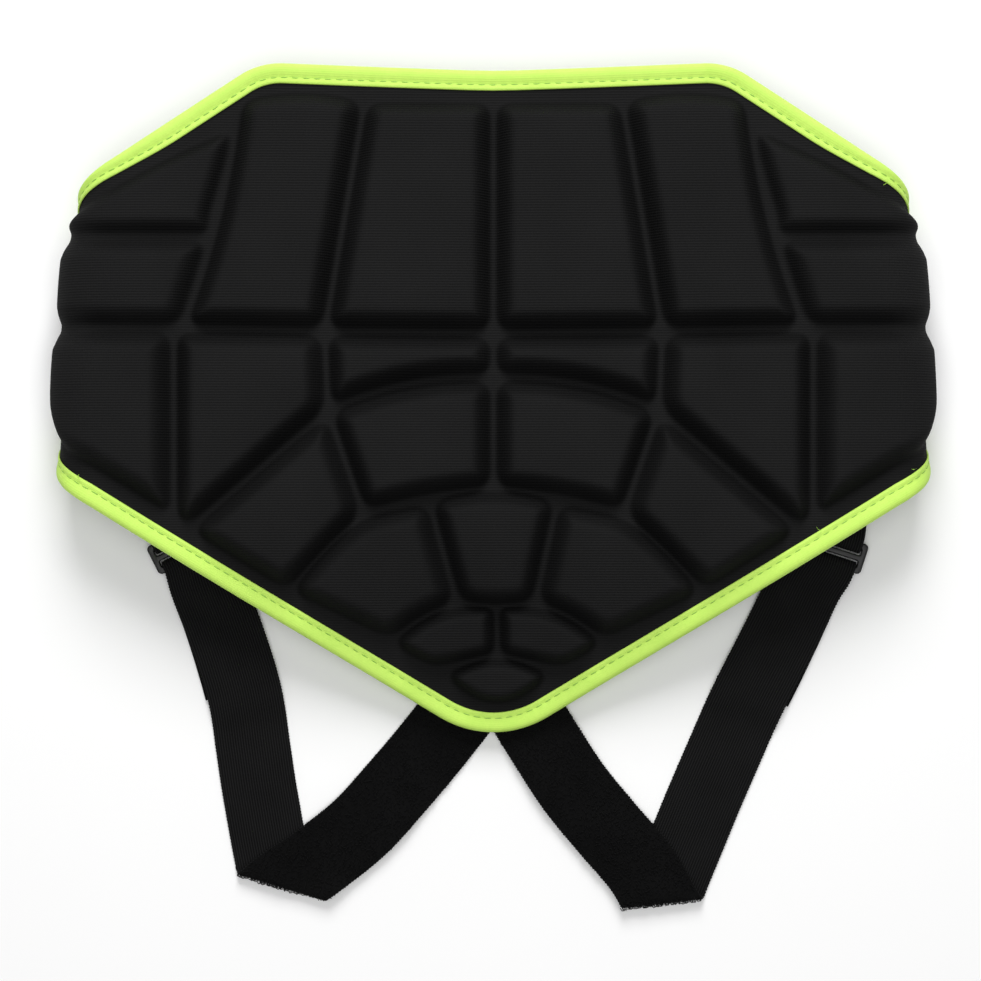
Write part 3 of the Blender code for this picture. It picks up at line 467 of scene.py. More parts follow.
def padHeights(points, ends):
    count = np.bincount(ends.ravel(), minlength=len(points)).astype(float)
    rise = np.zeros(len(points))
    onPad = np.zeros(len(points), bool)
    crown = np.zeros(len(points))
    for names, bows, height, wall, both in pads:
        corners = [junction(name) for name in names.split()]
        outline = padOutline(corners, bows, pad["groove"] / 2, pad["corner"] * min(1.0, wall))
        for side in (1, -1) if both else (1,):
            loop = np.array([tuple(leaned(point, side)) for point in outline])
            low, high = loop.min(0), loop.max(0)
            near = np.flatnonzero(np.all((points >= low) & (points <= high), axis=1))
            near = near[insideMany(points[near], loop)]
            depth = distanceMany(points[near], loop)
            share = np.clip(depth / (pad["wall"] * wall), 0, 1)
            rise[near] = pad["height"] * height * (1 - (1 - share) ** pad["wallCurve"])
            crown[near] = pad["crown"] * height
            onPad[near] = True
    for _ in range(pad["softening"]):
        rise = 0.5 * rise + 0.5 * averaged(rise, ends, count)
    swell = np.zeros(len(points))
    for _ in range(500):
        swell = np.where(onPad, averaged(swell, ends, count) + 0.004, 0)
    rise += crown * np.minimum(1.0, swell / swell.max() * 1.2)
    filled = np.array([bridging(x, y) for x, y in points])
    return rise + filled * np.clip(1 - rise / pad["bridgeTop"], 0, 1)


def bridging(x, y):
    up = y / pattern["waistRise"]
    if not 0.12 < up < 0.68:
        return 0.0
    window = smooth((up - 0.14) / 0.06) * smooth((0.665 - up) / 0.07)
    around = smooth((abs(x) - foldStart(y)) / 0.012)
    around *= 1 - smooth((abs(x) - foldStart(y) - turnLength * 0.45) / (turnLength * 0.30))
    return pad["bridge"] * (1 - 0.75 * max(0.0, up - 0.3)) * window * around


# How steep the front is at each point, 0 to 1; it masks the painted shade on the pad walls.
def steepness(flat, rise, ends):
    run = np.hypot(*(flat[ends[:, 0]] - flat[ends[:, 1]]).T)
    slope = np.abs(rise[ends[:, 0]] - rise[ends[:, 1]]) / run
    total = np.bincount(ends[:, 0], slope, len(flat)) + np.bincount(ends[:, 1], slope, len(flat))
    return np.clip(total / np.bincount(ends.ravel(), minlength=len(flat)) / pad["steep"], 0, 1)


def buildPanel():
    loop = []
    for point, outward in rimStations(0.0026):
        if abs(point.x) <= seamAt + 1e-7:
            loop.append(point - outward * tapeSeat)
    front, faces, placed = triangulate(loop, (), dotsWithin(loop, pad["faceMesh"], 0.0009))
    flat = np.array([tuple(point) for point in front])
    ends = edgeEnds(faces)
    rise = padHeights(flat, ends)
    wallShadeMask = steepness(flat, rise, ends)
    vertices = []
    for (x, y), up in zip(flat, rise):
        rough = noise.noise(Vector((x * 34, y * 34, 3))) * pad["unevenness"]
        vertices.append(onPattern(x, y, pattern["sheet"] / 2 + up * thinning(x) + rough))
    back, backFaces, backPlaced = triangulate(loop, (), dotsWithin(loop, pad["backMesh"], 0.002))
    base = len(vertices)
    for point in back:
        vertices.append(onPattern(point.x, point.y, -pattern["sheet"] / 2))
    faces += [tuple(base + corner for corner in face) for face in backFaces]
    for index in range(len(loop)):
        after = (index + 1) % len(loop)
        faces.append((placed[index], base + backPlaced[index], base + backPlaced[after], placed[after]))
    piece = makePiece("panel_cover", vertices, faces, knitCover(), "knit_cover",
                      uv=list(flat) + list(back))
    paintedWallShade = piece.data.attributes.new("wallShadeMask", "FLOAT", "POINT")     # painted shade: marks the steep pad walls, where the knit's colour is darkened
    paintedWallShade.data.foreach_set("value", list(wallShadeMask) + [0.0] * len(back))
    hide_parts("padded_panel")
    print("panel_cover:", len(piece.data.polygons), "faces")
    return piece


def buildWings():
    stations = rimStations(0.003)
    for side, name in ((-1, "left"), (1, "right")):
        loop = [point - outward * tapeSeat for point, outward in stations
                if point.x * side > 0 and abs(point.x) >= seamAt - 1e-7]
        loop = [Vector((math.copysign(max(abs(point.x), seamAt + pattern["clear"] / 2), side), point.y))
                for point in loop]
        half = wing["sheet"] / 2
        points, faces, placed = triangulate(loop, (), dotsWithin(loop, wing["mesh"], 0.002))
        vertices = []
        for height in (half, -half):
            for point in points:
                ripple = noise.noise(Vector((point.x * 28, point.y * 28, 9))) * 0.0002
                vertices.append(onPattern(point.x, point.y, height + ripple))
        base = len(points)
        faces += [tuple(base + corner for corner in reversed(face)) for face in list(faces)]
        for index in range(len(loop)):
            a, b = placed[index], placed[(index + 1) % len(loop)]
            faces.append((a, base + a, base + b, b))
        piece = makePiece("wing_cover_" + name, vertices, faces, knitCover(), "knit_cover",
                          uv=list(points) * 2, sharp=50)
        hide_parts("wing_" + name)


# Edge tape: a channel round the rim. Its stitch line is pulled in at every needle hole.

def tapeSection(reach, pull, puff):
    back = reach - tape["stitchIn"] - 0.0005
    flat = [(-reach, 0.00182), (-reach + 0.00025, 0.00222), (-reach + 0.0011, 0.00232),
            (-reach + tape["stitchIn"] - 0.0005, 0.00216 - pull * 0.5),
            (-reach + tape["stitchIn"], 0.00204 - pull),
            (-reach + tape["stitchIn"] + 0.0005, 0.00218 - pull * 0.5)]
    flat += [(-back * (1 - share), height + puff * swell) for share, height, swell in
             ((0.20, 0.00250, 0.6), (0.42, 0.00272, 1.0), (0.62, 0.00272, 1.0), (0.79, 0.00245, 0.8),
              (0.91, 0.00188, 0.5), (0.98, 0.00095, 0.2))]
    outside = flat + [(puff * 0.3, 0.0)] + [(out, -height) for out, height in reversed(flat)]
    inside = [(-reach + 0.0002, -0.00157), (-0.0014, -0.0017), (-0.0009, 0.0),
              (-0.0014, 0.0017), (-reach + 0.0002, 0.00157)]
    return outside + inside


def buildTape():
    stations = rimStations(tape["step"])
    middle = (wing["top"] + wing["bottom"]) / 2
    count = len(stations)
    first = next(i for i in range(count) if stations[i][0].y > middle >= stations[i - 1][0].y)
    order = [stations[(first + i) % count] for i in range(count)]
    runs = {"upper": [station for station in order if station[0].y > middle],
            "lower": [station for station in order if station[0].y <= middle]}
    for name, run in runs.items():
        bend = 1 if name == "upper" else -1
        run = [(Vector((run[0][0].x, middle + bend * pattern["clear"] / 2)), run[0][1])] + run
        run.append((Vector((run[-1][0].x, middle + bend * pattern["clear"] / 2)), run[-1][1]))
        vertices, uv, faces = [], [], []
        length = 0.0
        last = run[0][0]
        threads = {1: [], -1: []}
        for point, outward in run:
            length += (point - last).length
            last = point
            reach = tapeReach(point)
            pull = tape["pucker"] * (0.5 + 0.5 * math.cos(length / tape["stitchPitch"] * 2 * math.pi))
            puff = 0.00012 * noise.noise(Vector((length * 160, bend * 5, 1)))
            section = tapeSection(reach, pull, puff)
            for step, (out, height) in enumerate(section):
                vertices.append(onPattern(*(point + outward * out), height))
                uv.append((length, step * 0.0007))
            for face in (1, -1):
                spot = point + outward * (-reach + tape["stitchIn"])
                threads[face].append(onPattern(*spot, face * (0.00204 - pull + 0.00006)))
        size = len(section)
        for step in range(len(run) - 1):
            for corner in range(size):
                a = step * size + corner
                b = step * size + (corner + 1) % size
                faces.append((a, b, b + size, a + size))
        faces.append(tuple(range(size)))
        faces.append(tuple((len(run) - 1) * size + corner for corner in reversed(range(size))))
        piece = makePiece("tape_" + name, vertices, faces, edgeTape(), "edge_tape", uv=uv)
        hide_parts("binding_" + name)
        stitches = alongPath("tape_stitches_" + name, threads.values(), {
            "Pitch": tape["stitchPitch"], "Stitch Length": tape["stitchLength"],
            "Thread Radius": tape["threadRadius"], "Flatness": 0.8, "Looseness": 0.05, "Seed": 3,
        }, threadGreen())
        print("tape_" + name, len(piece.data.polygons), "faces,", len(stitches.data.polygons), "of thread")


# Geometry Nodes

def addNode(tree, kind, values=None, **settings):
    node = tree.nodes.new(kind)
    for key, value in settings.items():
        setattr(node, key, value)
    for key, value in (values or {}).items():
        if isinstance(value, bpy.types.NodeSocket):
            tree.links.new(value, node.inputs[key])
        else:
            node.inputs[key].default_value = value
    return node


def newTree(name, sockets):
    tree = bpy.data.node_groups.new(name, "GeometryNodeTree")
    tree.interface.new_socket("Geometry", in_out="INPUT", socket_type="NodeSocketGeometry")
    for title, kind, value in sockets:
        socket = tree.interface.new_socket(title, in_out="INPUT", socket_type="NodeSocket" + kind)
        if value is not None:
            socket.default_value = value
    tree.interface.new_socket("Geometry", in_out="OUTPUT", socket_type="NodeSocketGeometry")
    start = tree.nodes.new("NodeGroupInput")
    return tree, start.outputs


def endTree(tree, instances, material):
    real = addNode(tree, "GeometryNodeRealizeInstances", {"Geometry": instances})
    shade = addNode(tree, "GeometryNodeSetShadeSmooth", {"Geometry": real.outputs[0]})
    painted = addNode(tree, "GeometryNodeSetMaterial", {"Geometry": shade.outputs[0],
                                                        "Material": material})
    end = tree.nodes.new("NodeGroupOutput")
    tree.links.new(painted.outputs[0], end.inputs[0])
    return tree


def alongPathTree():
    tree, given = newTree("thread_along_path", [
        ("Pitch", "Float", 0.004), ("Stitch Length", "Float", 0.003), ("Thread Radius", "Float", 0.0003),
        ("Flatness", "Float", 1.0), ("Looseness", "Float", 0.0), ("Seed", "Int", 1),
        ("Material", "Material", None)])
    curve = addNode(tree, "GeometryNodeMeshToCurve", {"Mesh": given["Geometry"]})
    spaced = addNode(tree, "GeometryNodeResampleCurve", {"Curve": curve.outputs[0],
                                                         "Length": given["Pitch"]}, mode="LENGTH")
    tangent = addNode(tree, "GeometryNodeInputTangent")
    stray = addNode(tree, "FunctionNodeRandomValue", {"Seed": given["Seed"]}, data_type="FLOAT_VECTOR")
    stray.inputs["Min"].default_value = (-1, -1, -1)
    stray.inputs["Max"].default_value = (1, 1, 1)
    loose = addNode(tree, "ShaderNodeVectorMath", {0: stray.outputs[0]}, operation="SCALE")
    tree.links.new(given["Looseness"], loose.inputs["Scale"])
    lean = addNode(tree, "ShaderNodeVectorMath", {0: tangent.outputs[0], 1: loose.outputs[0]},
                   operation="ADD")
    turned = addNode(tree, "FunctionNodeAlignRotationToVector", {"Vector": lean.outputs[0]}, axis="X")
    ball = addNode(tree, "GeometryNodeMeshUVSphere", {"Segments": 6, "Rings": 6, "Radius": 1.0})
    halfLength = addNode(tree, "ShaderNodeMath", {0: given["Stitch Length"], 1: 0.5},
                         operation="MULTIPLY")
    thin = addNode(tree, "ShaderNodeMath", {0: given["Thread Radius"], 1: given["Flatness"]},
                   operation="MULTIPLY")
    size = addNode(tree, "ShaderNodeCombineXYZ", {"X": halfLength.outputs[0],
                                                  "Y": given["Thread Radius"], "Z": thin.outputs[0]})
    stitch = addNode(tree, "GeometryNodeTransform", {"Geometry": ball.outputs[0],
                                                     "Scale": size.outputs[0]})
    placed = addNode(tree, "GeometryNodeInstanceOnPoints", {
        "Points": spaced.outputs[0], "Instance": stitch.outputs[0], "Rotation": turned.outputs[0]})
    return endTree(tree, placed.outputs[0], given["Material"])


def pileTree():
    tree, given = newTree("looped_pile", [
        ("Spacing", "Float", 0.0009), ("Density", "Float", 1e6), ("Loop Radius", "Float", 0.0004),
        ("Yarn Radius", "Float", 0.0001), ("Sweep", "Float", math.pi), ("Seed", "Int", 1),
        ("Material", "Material", None)])
    spread = addNode(tree, "GeometryNodeDistributePointsOnFaces", {
        "Mesh": given["Geometry"], "Distance Min": given["Spacing"], "Density Max": given["Density"],
        "Seed": given["Seed"]}, distribute_method="POISSON")
    arc = addNode(tree, "GeometryNodeCurveArc", {"Resolution": 5, "Radius": given["Loop Radius"],
                                                 "Sweep Angle": given["Sweep"]}, mode="RADIUS")
    yarn = addNode(tree, "GeometryNodeCurvePrimitiveCircle", {"Resolution": 4,
                                                              "Radius": given["Yarn Radius"]})
    loop = addNode(tree, "GeometryNodeCurveToMesh", {"Curve": arc.outputs[0],
                                                     "Profile Curve": yarn.outputs[0], "Fill Caps": True})
    upright = addNode(tree, "GeometryNodeTransform", {"Geometry": loop.outputs[0],
                                                      "Rotation": (math.pi / 2, 0, 0)})
    spin = addNode(tree, "FunctionNodeRandomValue", {"Seed": given["Seed"]}, data_type="FLOAT_VECTOR")
    spin.inputs["Min"].default_value = (-0.5, -0.5, -3.1)
    spin.inputs["Max"].default_value = (0.5, 0.5, 3.1)
    turned = addNode(tree, "FunctionNodeRotateRotation", {"Rotation": spread.outputs["Rotation"]},
                     rotation_space="LOCAL")
    euler = addNode(tree, "FunctionNodeEulerToRotation", {"Euler": spin.outputs[0]})
    tree.links.new(euler.outputs[0], turned.inputs["Rotate By"])
    size = addNode(tree, "FunctionNodeRandomValue", {"Seed": given["Seed"]}, data_type="FLOAT")
    size.inputs[2].default_value = 0.7
    size.inputs[3].default_value = 1.25
    placed = addNode(tree, "GeometryNodeInstanceOnPoints", {
        "Points": spread.outputs["Points"], "Instance": upright.outputs[0],
        "Rotation": turned.outputs[0], "Scale": size.outputs[1]})
    return endTree(tree, placed.outputs[0], given["Material"])


def grow(name, tree, base, inputs, material):
    modifier = base.modifiers.new("grow", "NODES")
    modifier.node_group = tree
    for item in tree.interface.items_tree:
        if item.item_type == "SOCKET" and item.in_out == "INPUT" and item.name in inputs:
            modifier[item.identifier] = inputs[item.name]
        if item.item_type == "SOCKET" and item.name == "Material":
            modifier[item.identifier] = material
    bpy.context.view_layer.update()
    graph = bpy.context.evaluated_depsgraph_get()
    mesh = bpy.data.meshes.new_from_object(base.evaluated_get(graph), depsgraph=graph)
    mesh.name = name
    bpy.data.objects.remove(base)
    points = np.empty(len(mesh.vertices) * 3, np.float32)
    mesh.vertices.foreach_get("co", points)
    points[2::3] = np.maximum(points[2::3], 0.00003)     # loops lie down on the floor
    mesh.vertices.foreach_set("co", points)
    piece = bpy.data.objects.new(name, mesh)
    scene.collection.objects.link(piece)
    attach(piece, "root")
    return piece


def alongPath(name, paths, inputs, material):
    vertices, edges = [], []
    for path in paths:
        first = len(vertices)
        vertices += [tuple(point) for point in path]
        edges += [(first + i, first + i + 1) for i in range(len(path) - 1)]
    mesh = bpy.data.meshes.new(name + "_path")
    mesh.from_pydata(vertices, edges, [])
    base = bpy.data.objects.new(name + "_path", mesh)
    scene.collection.objects.link(base)
    return grow(name, trees["thread"], base, inputs, material)


def pileOn(name, grid, width, inputs, material):
    faces = []
    for row in range(len(grid) // width - 1):
        for column in range(width - 1):
            a = row * width + column
            faces.append((a, a + 1, a + 1 + width, a + width))
    mesh = bpy.data.meshes.new(name + "_ground")
    mesh.from_pydata([tuple(point) for point in grid], [], faces)
    mesh.update()
    base = bpy.data.objects.new(name + "_ground", mesh)
    scene.collection.objects.link(base)
    return grow(name, trees["pile"], base, inputs, material)


trees = {"thread": alongPathTree(), "pile": pileTree()}


# Finishes

finishes = {}


def finish(name, colour, roughness, build=None, **constants):
    if name in finishes:
        return finishes[name]
    material = bpy.data.materials.new(name)
    material.use_nodes = True
    tree = material.node_tree
    shader = tree.nodes["Principled BSDF"]
    shader.inputs["Base Color"].default_value = (*colour, 1)
    shader.inputs["Roughness"].default_value = roughness
    for key, value in constants.items():
        shader.inputs[key.replace("_", " ")].default_value = value
    if build:
        build(tree, shader)
    finishes[name] = material
    return material


def tone(tree, shader, factor, dark, light):
    mix = addNode(tree, "ShaderNodeMix", {"Factor": factor}, data_type="RGBA")
    mix.inputs[6].default_value = (*dark, 1)
    mix.inputs[7].default_value = (*light, 1)
    tree.links.new(mix.outputs[2], shader.inputs["Base Color"])


def relief(tree, shader, height, distance, strength=0.7):
    bump = addNode(tree, "ShaderNodeBump", {"Height": height, "Distance": distance,
                                            "Strength": strength})
    tree.links.new(bump.outputs[0], shader.inputs["Normal"])


def blended(tree, a, b, weight):
    scaled = addNode(tree, "ShaderNodeMath", {0: b, 1: weight}, operation="MULTIPLY")
    return addNode(tree, "ShaderNodeMath", {0: a, 1: scaled.outputs[0]}, operation="ADD").outputs[0]


def bands(tree, vector, axis, pitch, distortion=0.0, phase=0.0):
    node = addNode(tree, "ShaderNodeTexWave", {"Vector": vector, "Scale": 0.31416 / pitch,
                                               "Distortion": distortion, "Phase Offset": phase},
                   bands_direction=axis)
    return node.outputs["Fac"]


def grain(tree, vector, scale, detail=2.0):
    node = addNode(tree, "ShaderNodeTexNoise", {"Vector": vector, "Scale": scale, "Detail": detail})
    return node.outputs["Fac"]


def knitCover():
    look = {"rib": 0.00105, "course": 0.0007, "dark": (0.0022, 0.0022, 0.0023),
            "light": (0.0152, 0.0152, 0.0154)}

    def build(tree, shader):
        cloth = addNode(tree, "ShaderNodeUVMap", uv_map="cloth").outputs[0]
        ribs = bands(tree, cloth, "Y", look["rib"], 0.6)
        courses = bands(tree, cloth, "X", look["course"])
        fuzz = grain(tree, cloth, 1400, 3)
        patches = grain(tree, cloth, 30, 2)
        height = blended(tree, ribs, courses, 0.35)
        height = blended(tree, height, fuzz, 0.5)
        relief(tree, shader, height, 0.00014, 0.8)
        # Painted shade: the steep pad walls are darkened towards the dark knit colour.
        wallShadeMask = addNode(tree, "ShaderNodeAttribute", attribute_name="wallShadeMask").outputs["Fac"]
        shade = blended(tree, blended(tree, 0.0, ribs, 0.35), fuzz, 0.45)
        shade = blended(tree, blended(tree, shade, patches, 0.3), wallShadeMask, -0.32)
        tone(tree, shader, shade, look["dark"], look["light"])
    return finish("knit_cover", look["light"], 0.85, build, Specular_IOR_Level=0.10)


def edgeTape():
    look = {"weave": 0.00042, "dark": (0.46, 0.82, 0.10), "light": (0.68, 0.96, 0.17)}

    def build(tree, shader):
        cloth = addNode(tree, "ShaderNodeUVMap", uv_map="cloth").outputs[0]
        across = bands(tree, cloth, "X", look["weave"], 0.8)
        along = bands(tree, cloth, "Y", look["weave"] * 1.3, 0.5)
        fuzz = grain(tree, cloth, 900, 3)
        height = blended(tree, across, along, 0.5)
        relief(tree, shader, blended(tree, height, fuzz, 0.5), 0.00010, 0.7)
        patches = grain(tree, cloth, 120, 2)
        shade = blended(tree, blended(tree, 0.25, fuzz, 0.35), patches, 0.4)
        tone(tree, shader, shade, look["dark"], look["light"])
    return finish("edge_tape", look["light"], 0.6, build, Specular_IOR_Level=0.35)


def threadGreen():
    look = {"dark": (0.22, 0.42, 0.05), "light": (0.40, 0.66, 0.11)}

    def build(tree, shader):
        place = addNode(tree, "ShaderNodeTexCoord").outputs["Object"]
        twist = grain(tree, place, 3500, 2)
        relief(tree, shader, twist, 0.00008)
        tone(tree, shader, twist, look["dark"], look["light"])
    return finish("green_thread", look["light"], 0.65, build)


def elasticRibs():
    look = {"weave": 0.0006, "dark": (0.0018, 0.0018, 0.0019), "light": (0.0135, 0.0135, 0.0138)}

    def build(tree, shader):
        cloth = addNode(tree, "ShaderNodeUVMap", uv_map="cloth").outputs[0]
        weave = bands(tree, cloth, "X", look["weave"], 0.5)
        ribs = bands(tree, cloth, "Y", webbing["width"] / webbing["ribs"], 0.0, math.pi)
        place = addNode(tree, "ShaderNodeSeparateXYZ", {"Vector": cloth}).outputs["Y"]
        ribbed = addNode(tree, "ShaderNodeMath", {0: place, 1: 0.03}, operation="LESS_THAN").outputs[0]
        ribs = addNode(tree, "ShaderNodeMath", {0: ribs, 1: ribbed}, operation="MULTIPLY").outputs[0]
        fuzz = grain(tree, cloth, 1600, 3)
        worn = grain(tree, cloth, 60, 2)
        relief(tree, shader, blended(tree, blended(tree, ribs, weave, 0.4), fuzz, 0.7), 0.00018, 0.9)
        shade = blended(tree, blended(tree, -0.25, ribs, 0.75), fuzz, 0.4)
        tone(tree, shader, blended(tree, shade, worn, 0.3), look["dark"], look["light"])
    return finish("elastic_webbing", look["light"], 0.85, build, Specular_IOR_Level=0.08)


def pileYarn():
    look = {"dark": (0.0010, 0.0010, 0.0011), "light": (0.0065, 0.0065, 0.0067)}

    def build(tree, shader):
        place = addNode(tree, "ShaderNodeTexCoord").outputs["Object"]
        speck = grain(tree, place, 1500, 2)
        relief(tree, shader, speck, 0.00008)
        tone(tree, shader, speck, look["dark"], look["light"])
    return finish("pile_yarn", look["light"], 0.8, build, Specular_IOR_Level=0.12)


def blackThread():
    look = {"dark": (0.003, 0.003, 0.0032), "light": (0.012, 0.012, 0.0125)}

    def build(tree, shader):
        place = addNode(tree, "ShaderNodeTexCoord").outputs["Object"]
        twist = grain(tree, place, 3500, 2)
        relief(tree, shader, twist, 0.00008)
        tone(tree, shader, twist, look["dark"], look["light"])
    return finish("black_thread", look["light"], 0.7, build, Specular_IOR_Level=0.15)


def mouldedPlastic():
    look = {"dark": (0.0035, 0.0035, 0.0037), "light": (0.007, 0.007, 0.0073)}

    def build(tree, shader):
        place = addNode(tree, "ShaderNodeTexCoord").outputs["Object"]
        skin = grain(tree, place, 2200, 3)
        marks = grain(tree, place, 160, 2)
        relief(tree, shader, skin, 0.00003, 0.5)
        tone(tree, shader, marks, look["dark"], look["light"])
        rough = addNode(tree, "ShaderNodeMapRange", {"Value": marks, "To Min": 0.34, "To Max": 0.5})
        tree.links.new(rough.outputs[0], shader.inputs["Roughness"])
    return finish("moulded_plastic", look["light"], 0.4, build, Specular_IOR_Level=0.32)


# Leg straps. Routes run from the slider to the fold (share of the way down, share of the
# half width across) and from the fold back to the panel (share of the way up, across).
legs = {
    "left": {
        "side": -1, "across": -0.7155, "tuck": 0.297, "tilt": 27, "foldAcross": -0.5145,
        "foldDrop": 0.576, "foldLine": -17, "over": 0,
        "down": [(0.128, -0.680), (0.229, -0.648), (0.346, -0.615), (0.461, -0.589),
                 (0.607, -0.572), (0.753, -0.554)],
        "up": [(0.145, -0.418), (0.331, -0.3105), (0.535, -0.2248), (0.763, -0.1367), (1.0, -0.052)],
    },
    "right": {
        "side": 1, "across": 0.7816, "tuck": -0.007, "tilt": 18, "foldAcross": 0.4056,
        "foldDrop": 0.644, "foldLine": 6.5, "over": 1,
        "down": [(0.096, 0.7445), (0.207, 0.7005), (0.320, 0.6530), (0.432, 0.6054),
                 (0.572, 0.5539), (0.713, 0.5029), (0.768, 0.4838)],
        "up": [(0.194, 0.3494), (0.3855, 0.2683), (0.5726, 0.1918), (0.7823, 0.1228), (1.0, 0.056)],
    },
}
pile = {
    "spacing": 0.00090,
    "loopRadius": 0.00055,
    "yarnRadius": 0.00018,
    "foldSpacing": 0.0008,
    "foldLoop": 0.0011,
    "nubPitch": 0.0013,
    "nubLength": 0.0011,
    "nubRadius": 0.00030,
}
barReach = slider["bar"] / 2 * math.sqrt(2) + pattern["clear"] + webbing["thick"] / 2
barHeight = rest + barReach
barPitch = slider["bar"] + slider["slot"]


def leftOf(direction):
    return Vector((-direction.y, direction.x))


def planCurve(points, startDirection=None, samples=24):
    last = len(points) - 1
    tangents = [(points[min(last, i + 1)] - points[max(0, i - 1)]).normalized()
                for i in range(last + 1)]
    if startDirection is not None:
        tangents[0] = startDirection
    curve = []
    for i in range(last):
        a, b = points[i], points[i + 1]
        span = (b - a).length
        for sample in range(samples):
            t = sample / samples
            curve.append(a * (2 * t ** 3 - 3 * t ** 2 + 1) + tangents[i] * span * (t ** 3 - 2 * t ** 2 + t)
                         + b * (3 * t ** 2 - 2 * t ** 3) + tangents[i + 1] * span * (t ** 3 - t ** 2))
    curve.append(points[-1].copy())
    marks = [0.0]
    for a, b in zip(curve, curve[1:]):
        marks.append(marks[-1] + (b - a).length)
    return curve, marks


def alongCurve(route, s):
    curve, marks = route
    index = int(np.searchsorted(marks, s, side="right")) - 1
    index = max(0, min(index, len(marks) - 2))
    share = (s - marks[index]) / (marks[index + 1] - marks[index])
    a, b = curve[index], curve[index + 1]
    first = (b - curve[max(0, index - 1)]).normalized()
    second = (curve[min(len(curve) - 1, index + 2)] - a).normalized()
    return a.lerp(b, share), first.lerp(second, min(1.0, max(0.0, share))).normalized()


def markNear(route, point):
    curve, marks = route
    return marks[min(range(len(curve)), key=lambda i: (curve[i] - point).length)]


def stopsBetween(start, end, pitch):
    count = max(1, math.ceil((end - start) / pitch))
    return [start + (end - start) * step / count for step in range(1, count + 1)]


def ribbedSection(pointAt):
    ribs = webbing["ribs"]
    perRib = 4
    ring = []
    for step in range(ribs * perRib + 1):
        w = -strapHalf + webbing["width"] * step / (ribs * perRib)
        phase = (step % perRib) / perRib
        rise = webbing["ribHeight"] * (math.sin(math.pi * phase) - 1)
        ring.append((w, webbing["thick"] / 2 + rise))
    ring.append((strapHalf + 0.00022, 0.0))
    for step in range(21):
        w = strapHalf - webbing["width"] * step / 20
        ring.append((w, -webbing["thick"] / 2))
    ring.append((-strapHalf - 0.00022, 0.0))
    return [pointAt(w, n) for w, n in ring], [w + (0.05 if n < 0 else 0) for w, n in ring]


def sweep(name, rings, lengths, across, material, slot):
    size = len(rings[0])
    vertices = [point - shift for ring in rings for point in ring]
    uv = [(length, place) for length in lengths for place in across]
    faces = []
    for step in range(len(rings) - 1):
        for corner in range(size):
            a = step * size + corner
            b = step * size + (corner + 1) % size
            faces.append((a, b, b + size, a + size))
    faces.append(tuple(range(size)))
    faces.append(tuple((len(rings) - 1) * size + corner for corner in reversed(range(size))))
    return makePiece(name, vertices, faces, material, slot, uv=uv, sharp=60)


